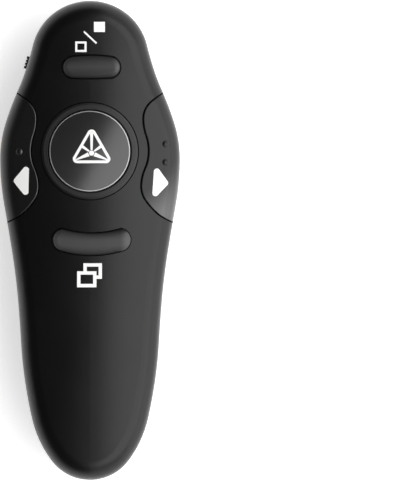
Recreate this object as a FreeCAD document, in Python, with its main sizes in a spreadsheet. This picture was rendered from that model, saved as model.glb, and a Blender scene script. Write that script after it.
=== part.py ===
import FreeCAD, Part
import Sketcher
import math
import os
import re
from types import SimpleNamespace

# Wireless presentation clicker: a moulded handset with five front keys, a laser
# pointer in its nose, a power slide, a pairing key, and a battery cover on its
# underside. A USB receiver lies stowed behind the cover, and one slim cell behind that.
# Frame: +Z is up through the keys, +Y runs to the nose, +X is to the right when
# the keys face the reader. The origin is under the middle of the underside.

V = FreeCAD.Vector
Z_AXIS = V(0, 0, 1)
Y_AXIS = V(0, 1, 0)
X_AXIS = V(1, 0, 0)

doc = FreeCAD.newDocument("presentation_clicker")
sheet = doc.addObject("Spreadsheet::Sheet", "sizes")

# Driving dimensions, in millimetres and degrees.
SIZES = {
    "Handset form": {
        "body_length": 114.0,
        "body_width": 42.8,
        "body_height": 27.0,
        "part_height": 19.0,
        "crown_radius": 62.0,
        "arch_radius": 600.0,
        "arch_peak_y": 16.0,
        "top_round": 5.0,
        "bottom_round": 10.0,
        "shell_wall": 2.0,
        "lip_height": 1.1,
        "lip_wall": 0.9,
        "lip_gap": 0.1,
        "parting_gap": 0.15,
        "overrun": 1.0,
    },
    "Battery cover": {
        "cover_wall": 1.5,
        "cover_gap": 0.6,
        "seam_gap": 0.2,
        "rim_height": 9.5,
        "cover_head_y": 24.0,
        "cover_sweep_length": 28.0,
        "tab_width": 4.2,
        "tab_reach": 2.4,
        "tab_thickness": 1.4,
        "tab_gap": 0.25,
        "cover_off_angle": 45.0,
        "grip_dot_radius": 0.9,
        "grip_dot_depth": 0.35,
        "grip_dot_spacing": 4.2,
        "grip_y": 17.5,
        "grip_arc_radius": 5.5,
        "grip_arc_width": 0.8,
    },
    "Deck, trough and cell bay": {
        "deck_wall": 1.2,
        "trough_width": 16.3,
        "trough_depth_height": 8.4,
        "bay_width": 11.2,
        "bay_length": 49.0,
        "bay_head_y": 4.0,
        "bay_clearance": 0.3,
        "platform_width": 17.0,
        "platform_head_y": 20.0,
        "platform_floor_height": 4.6,
        "hook_spacing": 8.0,
        "hook_y": 13.0,
        "hook_width": 2.6,
        "hook_thickness": 1.0,
        "hook_overhang": 1.0,
    },
    "Cell and contacts": {
        "cell_radius": 5.25,
        "cell_length": 44.5,
        "cell_nub_radius": 1.9,
        "cell_nub_length": 0.8,
        "cell_edge_round": 0.5,
        "contact_plate_thickness": 0.4,
        "contact_plate_width": 9.4,
        "contact_plate_rise": 9.4,
        "contact_gap": 0.1,
        "spring_wire": 0.5,
        "spring_turns": 3.0,
        "spring_base_radius": 4.1,
        "spring_tip_radius": 1.8,
    },
    "Main board and switches": {
        "board_thickness": 1.0,
        "board_height": 20.9,
        "board_inset": 4.8,
        "board_tail_y": -9.4,
        "board_hole_gap": 0.4,
        "switch_width": 4.0,
        "switch_rise": 1.0,
        "plunger_radius": 1.0,
        "plunger_stand": 0.5,
        "plunger_length": 0.8,
        "plunger_gap": 0.05,
        "chip_width": 5.0,
        "chip_rise": 0.9,
        "chip_x": -9.0,
        "chip_y": 11.0,
        "crystal_length": 4.6,
        "crystal_width": 2.2,
        "crystal_rise": 1.2,
        "crystal_x": -9.0,
        "crystal_y": 17.5,
    },
    "Front keys": {
        "key_gap": 0.2,
        "key_play": 0.15,
        "key_flange": 0.8,
        "key_flange_reach": 0.9,
        "key_edge_round": 0.35,
        "lozenge_edge_round": 1.5,
        "key_skirt": 1.4,
        "stem_radius": 1.6,
        "laser_key_radius": 9.65,
        "laser_key_y": 21.2,
        "laser_key_raise": 0.35,
        "ring_outer_radius": 11.6,
        "ring_drop": 0.4,
        "ring_thickness": 0.8,
        "ring_gap": 0.1,
        "ring_edge_round": 0.2,
        "blank_key_length": 13.8,
        "blank_key_width": 5.1,
        "blank_key_x": 0.4,
        "blank_key_y": 41.1,
        "blank_key_raise": 0.7,
        "window_key_length": 18.6,
        "window_key_width": 5.4,
        "window_key_x": 0.4,
        "window_key_y": 0.15,
        "window_key_raise": 0.7,
    },
    "Page keys": {
        "page_key_wall": 1.5,
        "page_seam_gap": 0.25,
        "page_edge_round": 0.25,
        "page_foot_gap": 0.5,
        "page_switch_x": 13.75,
        "page_switch_y": 13.0,
        "page_tab_length": 2.4,
        "page_tab_reach": 2.0,
        "page_tab_neck": 0.8,
        "page_tab_thickness": 0.6,
        "bump_radius": 0.8,
        "bump_rise": 0.3,
    },
    "Power slide": {
        "power_knob_y": 42.3,
        "power_knob_height": 15.2,
        "power_travel": 2.5,
        "power_knob_length": 3.0,
        "power_knob_width": 2.0,
        "power_knob_proud": 0.7,
        "power_slot_gap": 0.2,
        "power_wall_gap": 0.35,
        "power_flange_length": 6.4,
        "power_flange_width": 4.6,
        "power_flange_thickness": 0.8,
        "power_grip_grooves": 3.0,
        "power_grip_depth": 0.25,
        "power_switch_length": 7.4,
        "power_switch_depth": 3.4,
        "power_switch_rise": 3.4,
        "power_switch_lever_length": 1.4,
        "power_switch_lever_rise": 1.2,
        "power_switch_lever_reach": 1.3,
        "power_switch_setback": 4.6,
    },
    "Pairing key": {
        "pair_key_radius": 2.7,
        "pair_key_y": 33.5,
        "pair_key_inset": 0.3,
        "pair_flange_radius": 3.8,
        "pair_stem_radius": 1.4,
        "pair_key_gap": 0.2,
        "pair_key_cap": 0.85,
        "pair_flange_gap": 0.15,
        "pair_guide_height": 12.0,
        "pair_guide_wall": 1.0,
        "pair_guide_foot": 4.2,
        "pair_rib_thickness": 1.4,
    },
    "Laser module": {
        "laser_axis_height": 14.9,
        "laser_window_radius": 2.1,
        "laser_window_gap": 0.05,
        "laser_window_flange_radius": 3.2,
        "laser_window_flange": 0.7,
        "laser_barrel_radius": 3.25,
        "laser_barrel_length": 12.0,
        "laser_barrel_head": 3.0,
        "laser_nose_gap": 0.3,
        "laser_lens_radius": 2.4,
        "laser_lens_thickness": 1.6,
        "laser_lens_inset": 0.6,
        "laser_board_width": 7.0,
        "laser_board_height": 5.6,
        "laser_board_thickness": 1.0,
        "saddle_thickness": 1.4,
        "saddle_width": 10.0,
        "saddle_gap": 0.05,
        "saddle_inset": 2.0,
        "window_pad_radius": 3.9,
        "window_pad_depth": 0.5,
    },
    "Fasteners": {
        "case_boss_radius": 2.5,
        "seat_boss_radius": 3.2,
        "tail_boss_y": -50.2,
        "tail_recess_gap": 1.1,
        "tail_recess_height": 6.4,
        "platform_boss_y": 7.8,
        "platform_boss_rise": 1.2,
        "screw_seat_height": 10.0,
        "boss_gap": 0.1,
        "screw_radius": 1.0,
        "screw_hole_gap": 0.15,
        "screw_pilot_gap": 0.05,
        "screw_head_radius": 2.0,
        "screw_head_height": 1.4,
        "screw_head_gap": 0.3,
        "screw_bite": 2.6,
        "screw_slot_width": 0.6,
        "screw_slot_depth": 0.7,
        "screw_tip": 0.8,
        "board_screw_radius": 0.7,
        "board_screw_head_radius": 1.4,
        "board_screw_head_height": 0.9,
        "board_screw_length": 2.6,
        "board_boss_radius": 1.7,
        "board_nose_boss_y": 49.0,
        "board_side_boss_x": 11.0,
        "board_side_boss_y": -6.7,
    },
    "Receiver": {
        "receiver_body_length": 17.0,
        "receiver_body_width": 15.7,
        "receiver_body_thickness": 5.9,
        "receiver_edge_round": 1.6,
        "receiver_collar_length": 3.0,
        "receiver_band_length": 3.4,
        "receiver_ribs": 8.0,
        "receiver_rib_share": 0.55,
        "receiver_groove_depth": 0.4,
        "receiver_head_play": 0.4,
        "receiver_rest_gap": 0.1,
        "plug_length": 11.6,
        "plug_width": 12.3,
        "plug_thickness": 4.5,
        "plug_side_wall": 0.75,
        "plug_window_length": 8.2,
        "plug_window_depth": 2.3,
        "plug_tip_wall": 0.5,
        "plug_edge_round": 0.3,
        "contact_board_thickness": 0.8,
        "contact_board_gap": 0.05,
        "contact_thickness": 0.15,
        "contact_outer_width": 1.8,
        "contact_inner_width": 1.6,
        "contact_outer_x": 4.1,
        "contact_inner_x": 1.35,
        "contact_inner_setback": 0.8,
        "contact_margin": 0.3,
    },
}

# Plan outline of the right half, nose to tail: shares of the half width and the
# half length, then the heading in degrees outwards from straight tailwards.
OUTLINE_SHARES = (
    (0.0, 1.0, 90.0),
    (0.634, 0.817, 14.0),
    (0.80, 0.628, 24.0),
    (1.0, 0.342, 0.0),
    (0.865, -0.05, -9.0),
    (0.768, -0.42, -3.0),
    (0.645, -0.745, -13.0),
    (0.0, -1.0, -90.0),
)
# Seam between the front shell and a page key, in the same form.
PAGE_SEAM_SHARES = (
    (0.888, 0.630, -61.0),
    (0.593, 0.507, 0.0),
    (0.654, 0.372, 0.0),
    (0.570, 0.225, 0.0),
    (0.715, 0.125, 46.0),
    (1.01, 0.063, 68.0),
)
# Retaining tabs of a page key, on its seam: shares of the half width and length.
PAGE_TAB_SHARES = ((0.593, 0.507), (0.622, 0.307))
# Touch bumps on the page keys: shares of the half width and the half length.
LEFT_BUMP_SHARES = ((-0.785, 0.370),)
RIGHT_BUMP_SHARES = ((0.841, 0.402), (0.841, 0.326))
# Key outlines: how far each end draws in, and how far each long edge bows
# towards the nose, as shares of the key's width.
BLANK_KEY_SHARES = SimpleNamespace(end=0.42, nose_bow=0.07, tail_bow=-0.03)
WINDOW_KEY_SHARES = SimpleNamespace(end=0.44, nose_bow=-0.20, tail_bow=-0.18)
# The edge rounds stay below these shares of the tightest outline turn.
LARGEST_ROUND_SHARE = 0.88
# Half the width of the cover's rounded head end, as a share of the half width.
COVER_SWEEP_SHARE = 0.958
# How far back along its own thickness the lens's edge lies.
LENS_EDGE_SHARE = 0.75
# Lengths below this count as nothing.
NOTHING = 1e-9
# Places closer than this to a curve or surface lie on it.
HAIR = 0.01
# An edge whose direction rises by less than this share runs along the seam.
LEVEL_SHARE = 0.9
# Points on each turn where the spring's gap to itself is measured.
POINTS_PER_TURN = 24


def write_sizes():
    row = 1
    for section, cells in SIZES.items():
        sheet.set(f"A{row}", section)
        row += 1
        for name, value in cells.items():
            sheet.set(f"A{row}", name.replace("_", " "))
            sheet.set(f"B{row}", str(value))
            sheet.setAlias(f"B{row}", name)
            row += 1
    doc.recompute()
    names = [name for cells in SIZES.values() for name in cells]
    return SimpleNamespace(**{name: float(sheet.get(name)) for name in names})


d = write_sizes()
ALIASES = set(vars(d))

# Heights and places worked out from the sizes.
half_width = d.body_width / 2
half_length = d.body_length / 2
deck_inset = d.cover_wall + d.cover_gap
bay_tail_y = d.bay_head_y - d.bay_length
cell_height = d.trough_depth_height + d.bay_clearance + d.cell_radius
bay_top_height = cell_height + d.cell_radius + d.bay_clearance
board_top = d.board_height + d.board_thickness
plunger_top = board_top + d.switch_rise + d.plunger_stand
stem_foot = plunger_top + d.plunger_gap


def rule(text):
    """An expression in which each size's name stands for its cell."""
    return re.sub(r"[a-z_]+", lambda m: f"sizes.{m[0]}" if m[0] in ALIASES else m[0], text)


def bind(obj, **rules):
    """Ties properties to the sheet. Double underscores stand for dots."""
    for name, text in rules.items():
        obj.setExpression(name.replace("__", "."), rule(text))
    return obj


def place(obj, x="0", y="0", z="0"):
    """Ties an object's position to the sheet."""
    return bind(obj, Placement__Base__x=x, Placement__Base__y=y, Placement__Base__z=z)


pieces = {}


def keep(obj, name):
    """Names a finished sub-part, which is then written to its own file."""
    obj.Label = name
    pieces[name] = obj
    return obj


def shape_piece(name, shape):
    """A sub-part whose shape is worked out directly from the sizes."""
    obj = doc.addObject("Part::Feature", name)
    obj.Shape = shape
    return keep(obj, name)


# Curves and solids shared by many sub-parts.


def arc_from(start, heading, end):
    """The arc that leaves start along heading and ends at end."""
    chord = end - start
    along = V(chord).normalize()
    aside = heading - along * heading.dot(along)
    if aside.Length < NOTHING:
        return Part.makeLine(start, end)
    turn = math.atan2(aside.Length, heading.dot(along))
    rise = V(aside).normalize() * (chord.Length / 2 * math.tan(turn / 2))
    return Part.Arc(start, (start + end) / 2 + rise, end).toShape()


def two_arcs(start, heading, end, end_heading):
    """Two tangent arcs from one point and heading to another."""
    gap = end - start
    both = heading + end_heading
    spread = 2 * (1 - heading.dot(end_heading))
    if spread < NOTHING:
        reach = gap.dot(gap) / (4 * gap.dot(end_heading))
    else:
        across = gap.dot(both)
        reach = (math.sqrt(across * across + spread * gap.dot(gap)) - across) / spread
    first = start + heading * reach
    second = end - end_heading * reach
    middle = (first + second) / 2
    return [arc_from(start, heading, middle), arc_from(middle, (second - first).normalize(), end)]


def plan_arcs(shares, grow=0):
    """Tangent arcs in the XY plane through points given as shares with headings."""
    points = [V(across * half_width, along * half_length, 0) for across, along, _ in shares]
    angles = [math.radians(angle) for _, _, angle in shares]
    headings = [V(math.sin(angle), -math.cos(angle), 0) for angle in angles]
    edges = []
    for i in range(len(points) - 1):
        edges += two_arcs(points[i], headings[i], points[i + 1], headings[i + 1])
    return [grown_arc(edge, grow) for edge in edges] if grow else edges


def grown_arc(edge, grow):
    """The same arc moved to its left by the given distance."""
    first, last = edge.ParameterRange
    moved = []
    for parameter in (first, (first + last) / 2, last):
        heading = edge.tangentAt(parameter)
        moved.append(edge.valueAt(parameter) + V(-heading.y, heading.x, 0) * grow)
    if edge.Curve.TypeId == "Part::GeomLine":
        return Part.makeLine(moved[0], moved[2])
    return Part.Arc(*moved).toShape()


def mirrored(shape):
    return shape.mirror(V(0, 0, 0), X_AXIS)


def closed_wire(edges):
    return Part.Wire(Part.__sortEdges__(edges))


def outline(grow):
    """The plan outline of the handset, grown or shrunk evenly."""
    right = plan_arcs(OUTLINE_SHARES, grow)
    return closed_wire(right + [mirrored(edge) for edge in right])


def prism(wire, low, high):
    face = Part.Face(wire)
    face.translate(V(0, 0, low - face.BoundBox.ZMin))
    return face.extrude(V(0, 0, high - low))


def block(x_low, x_high, y_low, y_high, z_low, z_high):
    return Part.makeBox(
        x_high - x_low, y_high - y_low, z_high - z_low, V(x_low, y_low, z_low)
    )


def slab(z_low, z_high):
    """Everything between two heights."""
    return block(-half_length, half_length, -d.body_length, d.body_length, z_low, z_high)


def post(radius, x, y, z_low, z_high):
    return Part.makeCylinder(radius, z_high - z_low, V(x, y, z_low), Z_AXIS)


tightest_turn = min(edge.Curve.Radius for edge in outline(0).Edges if hasattr(edge.Curve, "Radius"))
top_round = min(d.top_round, LARGEST_ROUND_SHARE * tightest_turn)
bottom_round = min(d.bottom_round, LARGEST_ROUND_SHARE * tightest_turn)
arch_centre = V(0, d.arch_peak_y, d.body_height - d.arch_radius)
made_forms = {}


def highest_face(solid):
    return max(solid.Faces, key=lambda face: face.CenterOfMass.z)


def form(grow):
    """The handset's whole form, grown or shrunk evenly on every side."""
    if grow in made_forms:
        return made_forms[grow]
    sides = prism(outline(grow), -grow, d.body_height + grow + d.overrun)
    crown = Part.makeTorus(
        d.arch_radius - d.crown_radius, d.crown_radius + grow, arch_centre, X_AXIS
    )
    solid = sides.common(crown)
    solid = solid.makeFillet(top_round + grow, highest_face(solid).Edges)
    bottom_edges = min(solid.Faces, key=lambda face: face.CenterOfMass.z).Edges
    solid = solid.makeFillet(bottom_round + grow, bottom_edges)
    made_forms[grow] = solid
    return solid


def layer(outer, inner):
    """The skin between two growths of the form."""
    return form(outer).cut(form(inner))


def cover_region(grow, top):
    """Where the battery cover lies: under the rim, behind a rounded head end."""
    half = COVER_SWEEP_SHARE * half_width + grow
    start_y = d.cover_head_y - d.cover_sweep_length
    apex = V(0, d.cover_head_y + grow, 0)
    ellipse = Part.Ellipse(apex, V(half, start_y, 0), V(0, start_y, 0))
    sweep = Part.ArcOfEllipse(ellipse, -math.pi / 2, math.pi / 2).toShape()
    corners = [
        V(half, start_y, 0),
        V(half, -d.body_length, 0),
        V(-half, -d.body_length, 0),
        V(-half, start_y, 0),
    ]
    sides = [Part.makeLine(a, b) for a, b in zip(corners, corners[1:])]
    return prism(closed_wire([sweep] + sides), -d.overrun, top)


def tab_prism(gap, along_low, along_high):
    """The cover's hooked tab as a slanted bar, which points the way the cover goes on."""
    angle = math.radians(d.cover_off_angle)
    root = V(0, d.cover_head_y - d.seam_gap, d.cover_wall / 2)
    inward = V(0, math.sin(angle), math.cos(angle))
    upward = V(0, -math.cos(angle), math.sin(angle))
    spots = [
        root + inward * along + upward * across
        for along, across in (
            (along_low, -gap),
            (along_high, -gap),
            (along_high, d.tab_thickness + gap),
            (along_low, d.tab_thickness + gap),
        )
    ]
    half = d.tab_width / 2 + gap
    face = Part.Face(Part.makePolygon(spots + spots[:1]))
    face.translate(V(-half, 0, 0))
    return face.extrude(V(2 * half, 0, 0))


def key_wire(length, width, x, y, shares, grow):
    """A key's outline: two bowed long edges and two rounded ends."""
    half = length / 2 + grow
    rise = width / 2 + grow
    corner = half - shares.end * width
    nose = Part.Arc(
        V(x - corner, y + rise, 0),
        V(x, y + rise + shares.nose_bow * width, 0),
        V(x + corner, y + rise, 0),
    )
    tail = Part.Arc(
        V(x - corner, y - rise, 0),
        V(x, y - rise + shares.tail_bow * width, 0),
        V(x + corner, y - rise, 0),
    )
    ends = [
        Part.Arc(
            V(x + side * corner, y + rise, 0),
            V(x + side * half, y, 0),
            V(x + side * corner, y - rise, 0),
        )
        for side in (-1, 1)
    ]
    return closed_wire([arc.toShape() for arc in (nose, tail, *ends)])


def round_wire(radius, x, y):
    return Part.Wire(Part.makeCircle(radius, V(x, y, 0)))


def blank_key_wire(grow):
    return key_wire(
        d.blank_key_length, d.blank_key_width, d.blank_key_x, d.blank_key_y, BLANK_KEY_SHARES, grow
    )


def window_key_wire(grow):
    return key_wire(
        d.window_key_length, d.window_key_width, d.window_key_x, d.window_key_y, WINDOW_KEY_SHARES, grow
    )


def laser_key_wire(grow):
    return round_wire(d.laser_key_radius + grow, 0, d.laser_key_y)


def page_region(grow, low):
    """The right page key's region, from its seam out past the side."""
    seam = plan_arcs(PAGE_SEAM_SHARES, -grow)
    first = seam[0].valueAt(seam[0].FirstParameter)
    last = seam[-1].valueAt(seam[-1].LastParameter)
    corners = [last, V(d.body_width, last.y, 0), V(d.body_width, first.y, 0), first]
    sides = [Part.makeLine(a, b) for a, b in zip(corners, corners[1:])]
    return prism(closed_wire(seam + sides), low, d.body_height + d.overrun)


def rounded_bar(width, thickness, edge_round, y_low, y_high, z_middle):
    """A bar along Y with its four long edges rounded."""
    bar = block(
        -width / 2, width / 2, y_low, y_high, z_middle - thickness / 2, z_middle + thickness / 2
    )
    long_edges = [edge for edge in bar.Edges if edge.BoundBox.YLength > (y_high - y_low) / 2]
    return bar.makeFillet(edge_round, long_edges)


# Sketched sub-parts.


def value(obj, text):
    found = obj.evalExpression(rule(text))
    return float(getattr(found, "Value", found))


def profile(body, name, plane, corners):
    """A closed sketch whose corners are tied to the sheet, on one of the body's planes."""
    sketch = body.newObject("Sketcher::SketchObject", name)
    support = next(item for item in body.Origin.OriginFeatures if item.Role == plane)
    sketch.AttachmentSupport = [(support, "")]
    sketch.MapMode = "FlatFace"
    spots = [V(value(sheet, x), value(sheet, y), 0) for x, y in corners]
    for i, spot in enumerate(spots):
        sketch.addGeometry(Part.LineSegment(spot, spots[(i + 1) % len(spots)]), False)
    for i in range(len(spots)):
        sketch.addConstraint(Sketcher.Constraint("Coincident", i, 2, (i + 1) % len(spots), 1))
    for i, corner in enumerate(corners):
        for kind, text, axis in zip(("DistanceX", "DistanceY"), corner, (-2, -1)):
            if text == "0":
                sketch.addConstraint(Sketcher.Constraint("PointOnObject", i, 1, axis))
                continue
            dimension = Sketcher.Constraint(kind, -1, 1, i, 1, value(sheet, text))
            index = sketch.addConstraint(dimension)
            sketch.setExpression(f"Constraints[{index}]", rule(text))
    return sketch


def turned(name, axis, corners):
    """A body turned about Y or Z. Corners give the place along or off the axis."""
    body = doc.addObject("PartDesign::Body", name)
    plane, sketch_axis = {"Y": ("YZ_Plane", "H_Axis"), "Z": ("XZ_Plane", "V_Axis")}[axis]
    sketch = profile(body, name + "_profile", plane, corners)
    turning = body.newObject("PartDesign::Revolution", name + "_turning")
    turning.Profile = sketch
    turning.ReferenceAxis = (sketch, [sketch_axis])
    turning.Angle = 360
    sketch.Visibility = False
    return body


def turned_z(name, corners, x, y, z):
    return keep(place(turned(name, "Z", corners), x, y, z), name)


# Rear shell: the deep half, with the deck, trough, cell bay and platform.


def make_rear_shell():
    wall = d.deck_wall
    deck = form(-deck_inset)
    skin = form(0).common(slab(-d.overrun, d.part_height))
    skin = skin.cut(cover_region(0, d.rim_height).cut(deck))
    step = cover_region(wall, d.rim_height + wall)
    skin = skin.cut(form(-d.shell_wall).cut(step)).cut(form(-deck_inset - wall))
    rebate = form(-(d.shell_wall - d.lip_wall - d.lip_gap))
    rebate = rebate.common(slab(d.part_height - d.lip_height - d.lip_gap, d.body_height))
    skin = skin.cut(rebate)

    trough_half = d.trough_width / 2
    bay_half = d.bay_width / 2
    platform_half = d.platform_width / 2
    tail_y = bay_tail_y
    head_y = d.bay_head_y
    tubs = [
        block(-trough_half - wall, trough_half + wall, tail_y - wall, head_y + wall, 0,
              d.trough_depth_height + wall),
        block(-bay_half - wall, bay_half + wall, tail_y - wall, head_y + wall, 0,
              bay_top_height + wall),
        block(-platform_half - wall, platform_half + wall, head_y, d.platform_head_y + wall, 0,
              d.platform_floor_height + wall),
        post(d.seat_boss_radius + d.tail_recess_gap + wall, 0, d.tail_boss_y, 0,
             d.tail_recess_height + wall),
    ]
    hollows = [
        block(-trough_half, trough_half, tail_y, head_y, -d.overrun, d.trough_depth_height),
        block(-bay_half, bay_half, tail_y, head_y, -d.overrun, bay_top_height),
        block(-platform_half, platform_half, head_y + wall, d.platform_head_y, -d.overrun,
              d.platform_floor_height),
        post(d.seat_boss_radius + d.tail_recess_gap, 0, d.tail_boss_y, -d.overrun,
             d.tail_recess_height),
    ]
    shell = skin.fuse([tub.common(deck) for tub in tubs])
    for hollow in hollows:
        shell = shell.cut(hollow)

    ring_foot = d.platform_floor_height - d.platform_boss_rise
    added = [
        post(d.seat_boss_radius, 0, d.tail_boss_y, 0, d.part_height).common(deck),
        post(d.seat_boss_radius, 0, d.platform_boss_y, ring_foot, d.part_height),
    ]
    added += platform_hooks()
    added += laser_seats()
    added += pair_key_guide()
    shell = shell.fuse(added)
    for hole in rear_shell_holes():
        shell = shell.cut(hole)
    return shell.removeSplitter()


def platform_hooks():
    """Two L-shaped hooks that stand on the platform and lean inwards."""
    top = deck_inset + d.cover_gap
    hooks = []
    for side in (-1, 1):
        outer = side * d.hook_spacing / 2
        inner = outer - side * d.hook_thickness
        lean = inner - side * d.hook_overhang
        y_low = d.hook_y - d.hook_width / 2
        y_high = d.hook_y + d.hook_width / 2
        leg = block(min(outer, inner), max(outer, inner), y_low, y_high, top,
                    d.platform_floor_height + d.deck_wall / 2)
        arm = block(min(outer, lean), max(outer, lean), y_low, y_high, top,
                    top + d.hook_thickness)
        hooks.append(leg.fuse(arm))
    return hooks


laser_face_y = half_length - d.shell_wall - d.window_pad_depth
barrel_head_y = laser_face_y - d.laser_window_flange - d.laser_nose_gap
barrel_tail_y = barrel_head_y - d.laser_barrel_length


def lying(radius, y_low, y_high):
    """A cylinder on the laser's axis."""
    return Part.makeCylinder(radius, y_high - y_low, V(0, y_low, d.laser_axis_height), Y_AXIS)


def laser_seats():
    """Two saddles under the laser barrel and the flat pad behind the window."""
    seats = []
    barrel = lying(d.laser_barrel_radius + d.saddle_gap, barrel_tail_y, half_length)
    for y in (barrel_tail_y + d.saddle_inset, barrel_head_y - d.saddle_inset):
        saddle = block(-d.saddle_width / 2, d.saddle_width / 2, y - d.saddle_thickness / 2,
                       y + d.saddle_thickness / 2, 0, d.laser_axis_height)
        seats.append(saddle.common(form(-d.shell_wall / 2)).cut(barrel))
    pad = lying(d.window_pad_radius, laser_face_y, half_length).common(form(-d.shell_wall / 2))
    seats.append(pad.common(slab(0, d.part_height - d.lip_height - d.lip_gap)))
    return seats


def pair_key_guide():
    """A cross rib with a sleeve that keeps the pairing key's stem upright."""
    sleeve_radius = d.pair_stem_radius + d.pair_key_gap + d.pair_guide_wall
    rib = block(-half_width, half_width, d.pair_key_y - d.pair_rib_thickness / 2,
                d.pair_key_y + d.pair_rib_thickness / 2, 0, d.pair_guide_height)
    rib = rib.common(form(-d.shell_wall / 2))
    room = post(d.pair_flange_radius + d.pair_guide_wall, 0, d.pair_key_y, 0, d.pair_guide_foot)
    sleeve = post(sleeve_radius, 0, d.pair_key_y, d.pair_guide_foot, d.pair_guide_height)
    return [rib.cut(room.cut(slab(0, d.shell_wall))), sleeve]


def rear_shell_holes():
    holes = []
    for y in (d.tail_boss_y, d.platform_boss_y):
        holes.append(post(d.screw_head_radius + d.screw_head_gap, 0, y, -d.overrun,
                          d.screw_seat_height))
        holes.append(post(d.screw_radius + d.screw_hole_gap, 0, y, 0, d.part_height + d.overrun))
    holes.append(post(d.pair_key_radius + d.pair_key_gap, 0, d.pair_key_y, -d.overrun,
                      d.shell_wall + d.overrun))
    holes.append(post(d.pair_stem_radius + d.pair_key_gap, 0, d.pair_key_y, 0,
                      d.pair_guide_height + d.overrun))
    holes.append(lying(d.laser_window_radius + d.laser_window_gap, barrel_head_y,
                       half_length + d.overrun))
    slant = 1 / math.cos(math.radians(d.cover_off_angle))
    holes.append(tab_prism(d.tab_gap, -(d.cover_wall + d.overrun) * slant,
                           d.tab_reach * slant + d.tab_gap))
    holes.append(power_slot())
    return holes


# Power slide. Its parts lie in a frame turned to the side wall: X inwards from the
# outer face, Y along the wall towards the nose.


def side_frame():
    """Where the knob's middle sits on the left side, at its OFF end."""
    probe = Part.makeLine(V(-d.body_width, d.power_knob_y, 0), V(0, d.power_knob_y, 0))
    wire = outline(0)
    spot = probe.distToShape(wire)[1][0][0]
    edge = min(wire.Edges, key=lambda one: one.distToShape(Part.Vertex(spot))[0])
    heading = edge.tangentAt(edge.Curve.parameter(spot))
    if heading.y < 0:
        heading = -heading
    turn = -math.degrees(math.atan2(heading.x, heading.y))
    base = V(spot.x, spot.y, d.power_knob_height)
    return FreeCAD.Placement(base, FreeCAD.Rotation(Z_AXIS, turn))


knob_frame = side_frame()


def at_side(shape):
    shape.Placement = knob_frame.multiply(shape.Placement)
    return shape


def power_slot():
    """The slot through the side wall, long enough for the knob and its travel."""
    half = d.power_knob_length / 2 + d.power_slot_gap
    rise = d.power_knob_width / 2 + d.power_slot_gap
    return at_side(block(-d.overrun * 2, d.shell_wall + d.overrun, -half, half + d.power_travel,
                         -rise, rise))


def make_power_knob():
    half = d.power_knob_length / 2
    rise = d.power_knob_width / 2
    inner = d.shell_wall + d.power_wall_gap
    flange_inner = inner + d.power_flange_thickness
    knob = block(-d.power_knob_proud, inner, -half, half, -rise, rise)
    flange = block(inner, flange_inner, -d.power_flange_length / 2, d.power_flange_length / 2,
                   -d.power_flange_width / 2, d.power_flange_width / 2)
    lever_z = lever_height() - d.power_knob_height
    lever_half = d.power_switch_lever_length / 2
    prong_top = lever_z + d.power_switch_lever_rise / 2
    arm = block(inner, flange_inner, -half, half, 0, prong_top)
    knob = knob.fuse([flange, arm])
    for side in (-1, 1):
        near = side * (lever_half + d.plunger_gap)
        far = side * half
        reach = flange_inner + d.power_switch_lever_reach / 2
        knob = knob.fuse(block(inner, reach, min(near, far), max(near, far),
                               lever_z - d.power_switch_lever_rise / 2, prong_top))
    pitch = d.power_knob_length / (d.power_grip_grooves + 1)
    for i in range(int(d.power_grip_grooves)):
        middle = -half + pitch * (i + 1)
        knob = knob.cut(block(-d.power_knob_proud - d.overrun, d.power_grip_depth - d.power_knob_proud,
                              middle - d.power_grip_depth / 2, middle + d.power_grip_depth / 2,
                              -d.overrun - rise, rise + d.overrun))
    return at_side(knob.removeSplitter())


def lever_height():
    return d.board_height - d.power_switch_rise / 2


def make_power_switch():
    """The slide switch's can, hung under the board."""
    low = d.board_height - d.power_switch_rise - d.power_knob_height
    middle = d.power_travel / 2
    half = d.power_switch_length / 2
    can = block(d.power_switch_setback, d.power_switch_setback + d.power_switch_depth,
                middle - half, middle + half, low, d.board_height - d.power_knob_height)
    lever_z = lever_height() - d.power_knob_height
    slot_half = d.power_switch_lever_length / 2 + d.power_slot_gap
    rise = d.power_switch_lever_rise / 2 + d.power_slot_gap
    slot = block(d.power_switch_setback - d.overrun, d.power_switch_setback + d.power_switch_depth / 2,
                 -slot_half, slot_half + d.power_travel, lever_z - rise, lever_z + rise)
    return at_side(can.cut(slot))


def make_power_lever():
    lever_z = lever_height() - d.power_knob_height
    half = d.power_switch_lever_length / 2
    rise = d.power_switch_lever_rise / 2
    tail = d.power_switch_setback + d.power_switch_depth / 2 - d.power_slot_gap
    return at_side(block(d.power_switch_setback - d.power_switch_lever_reach, tail, -half, half,
                         lever_z - rise, lever_z + rise))


# Front shell: the shallow half with the key openings.


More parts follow.
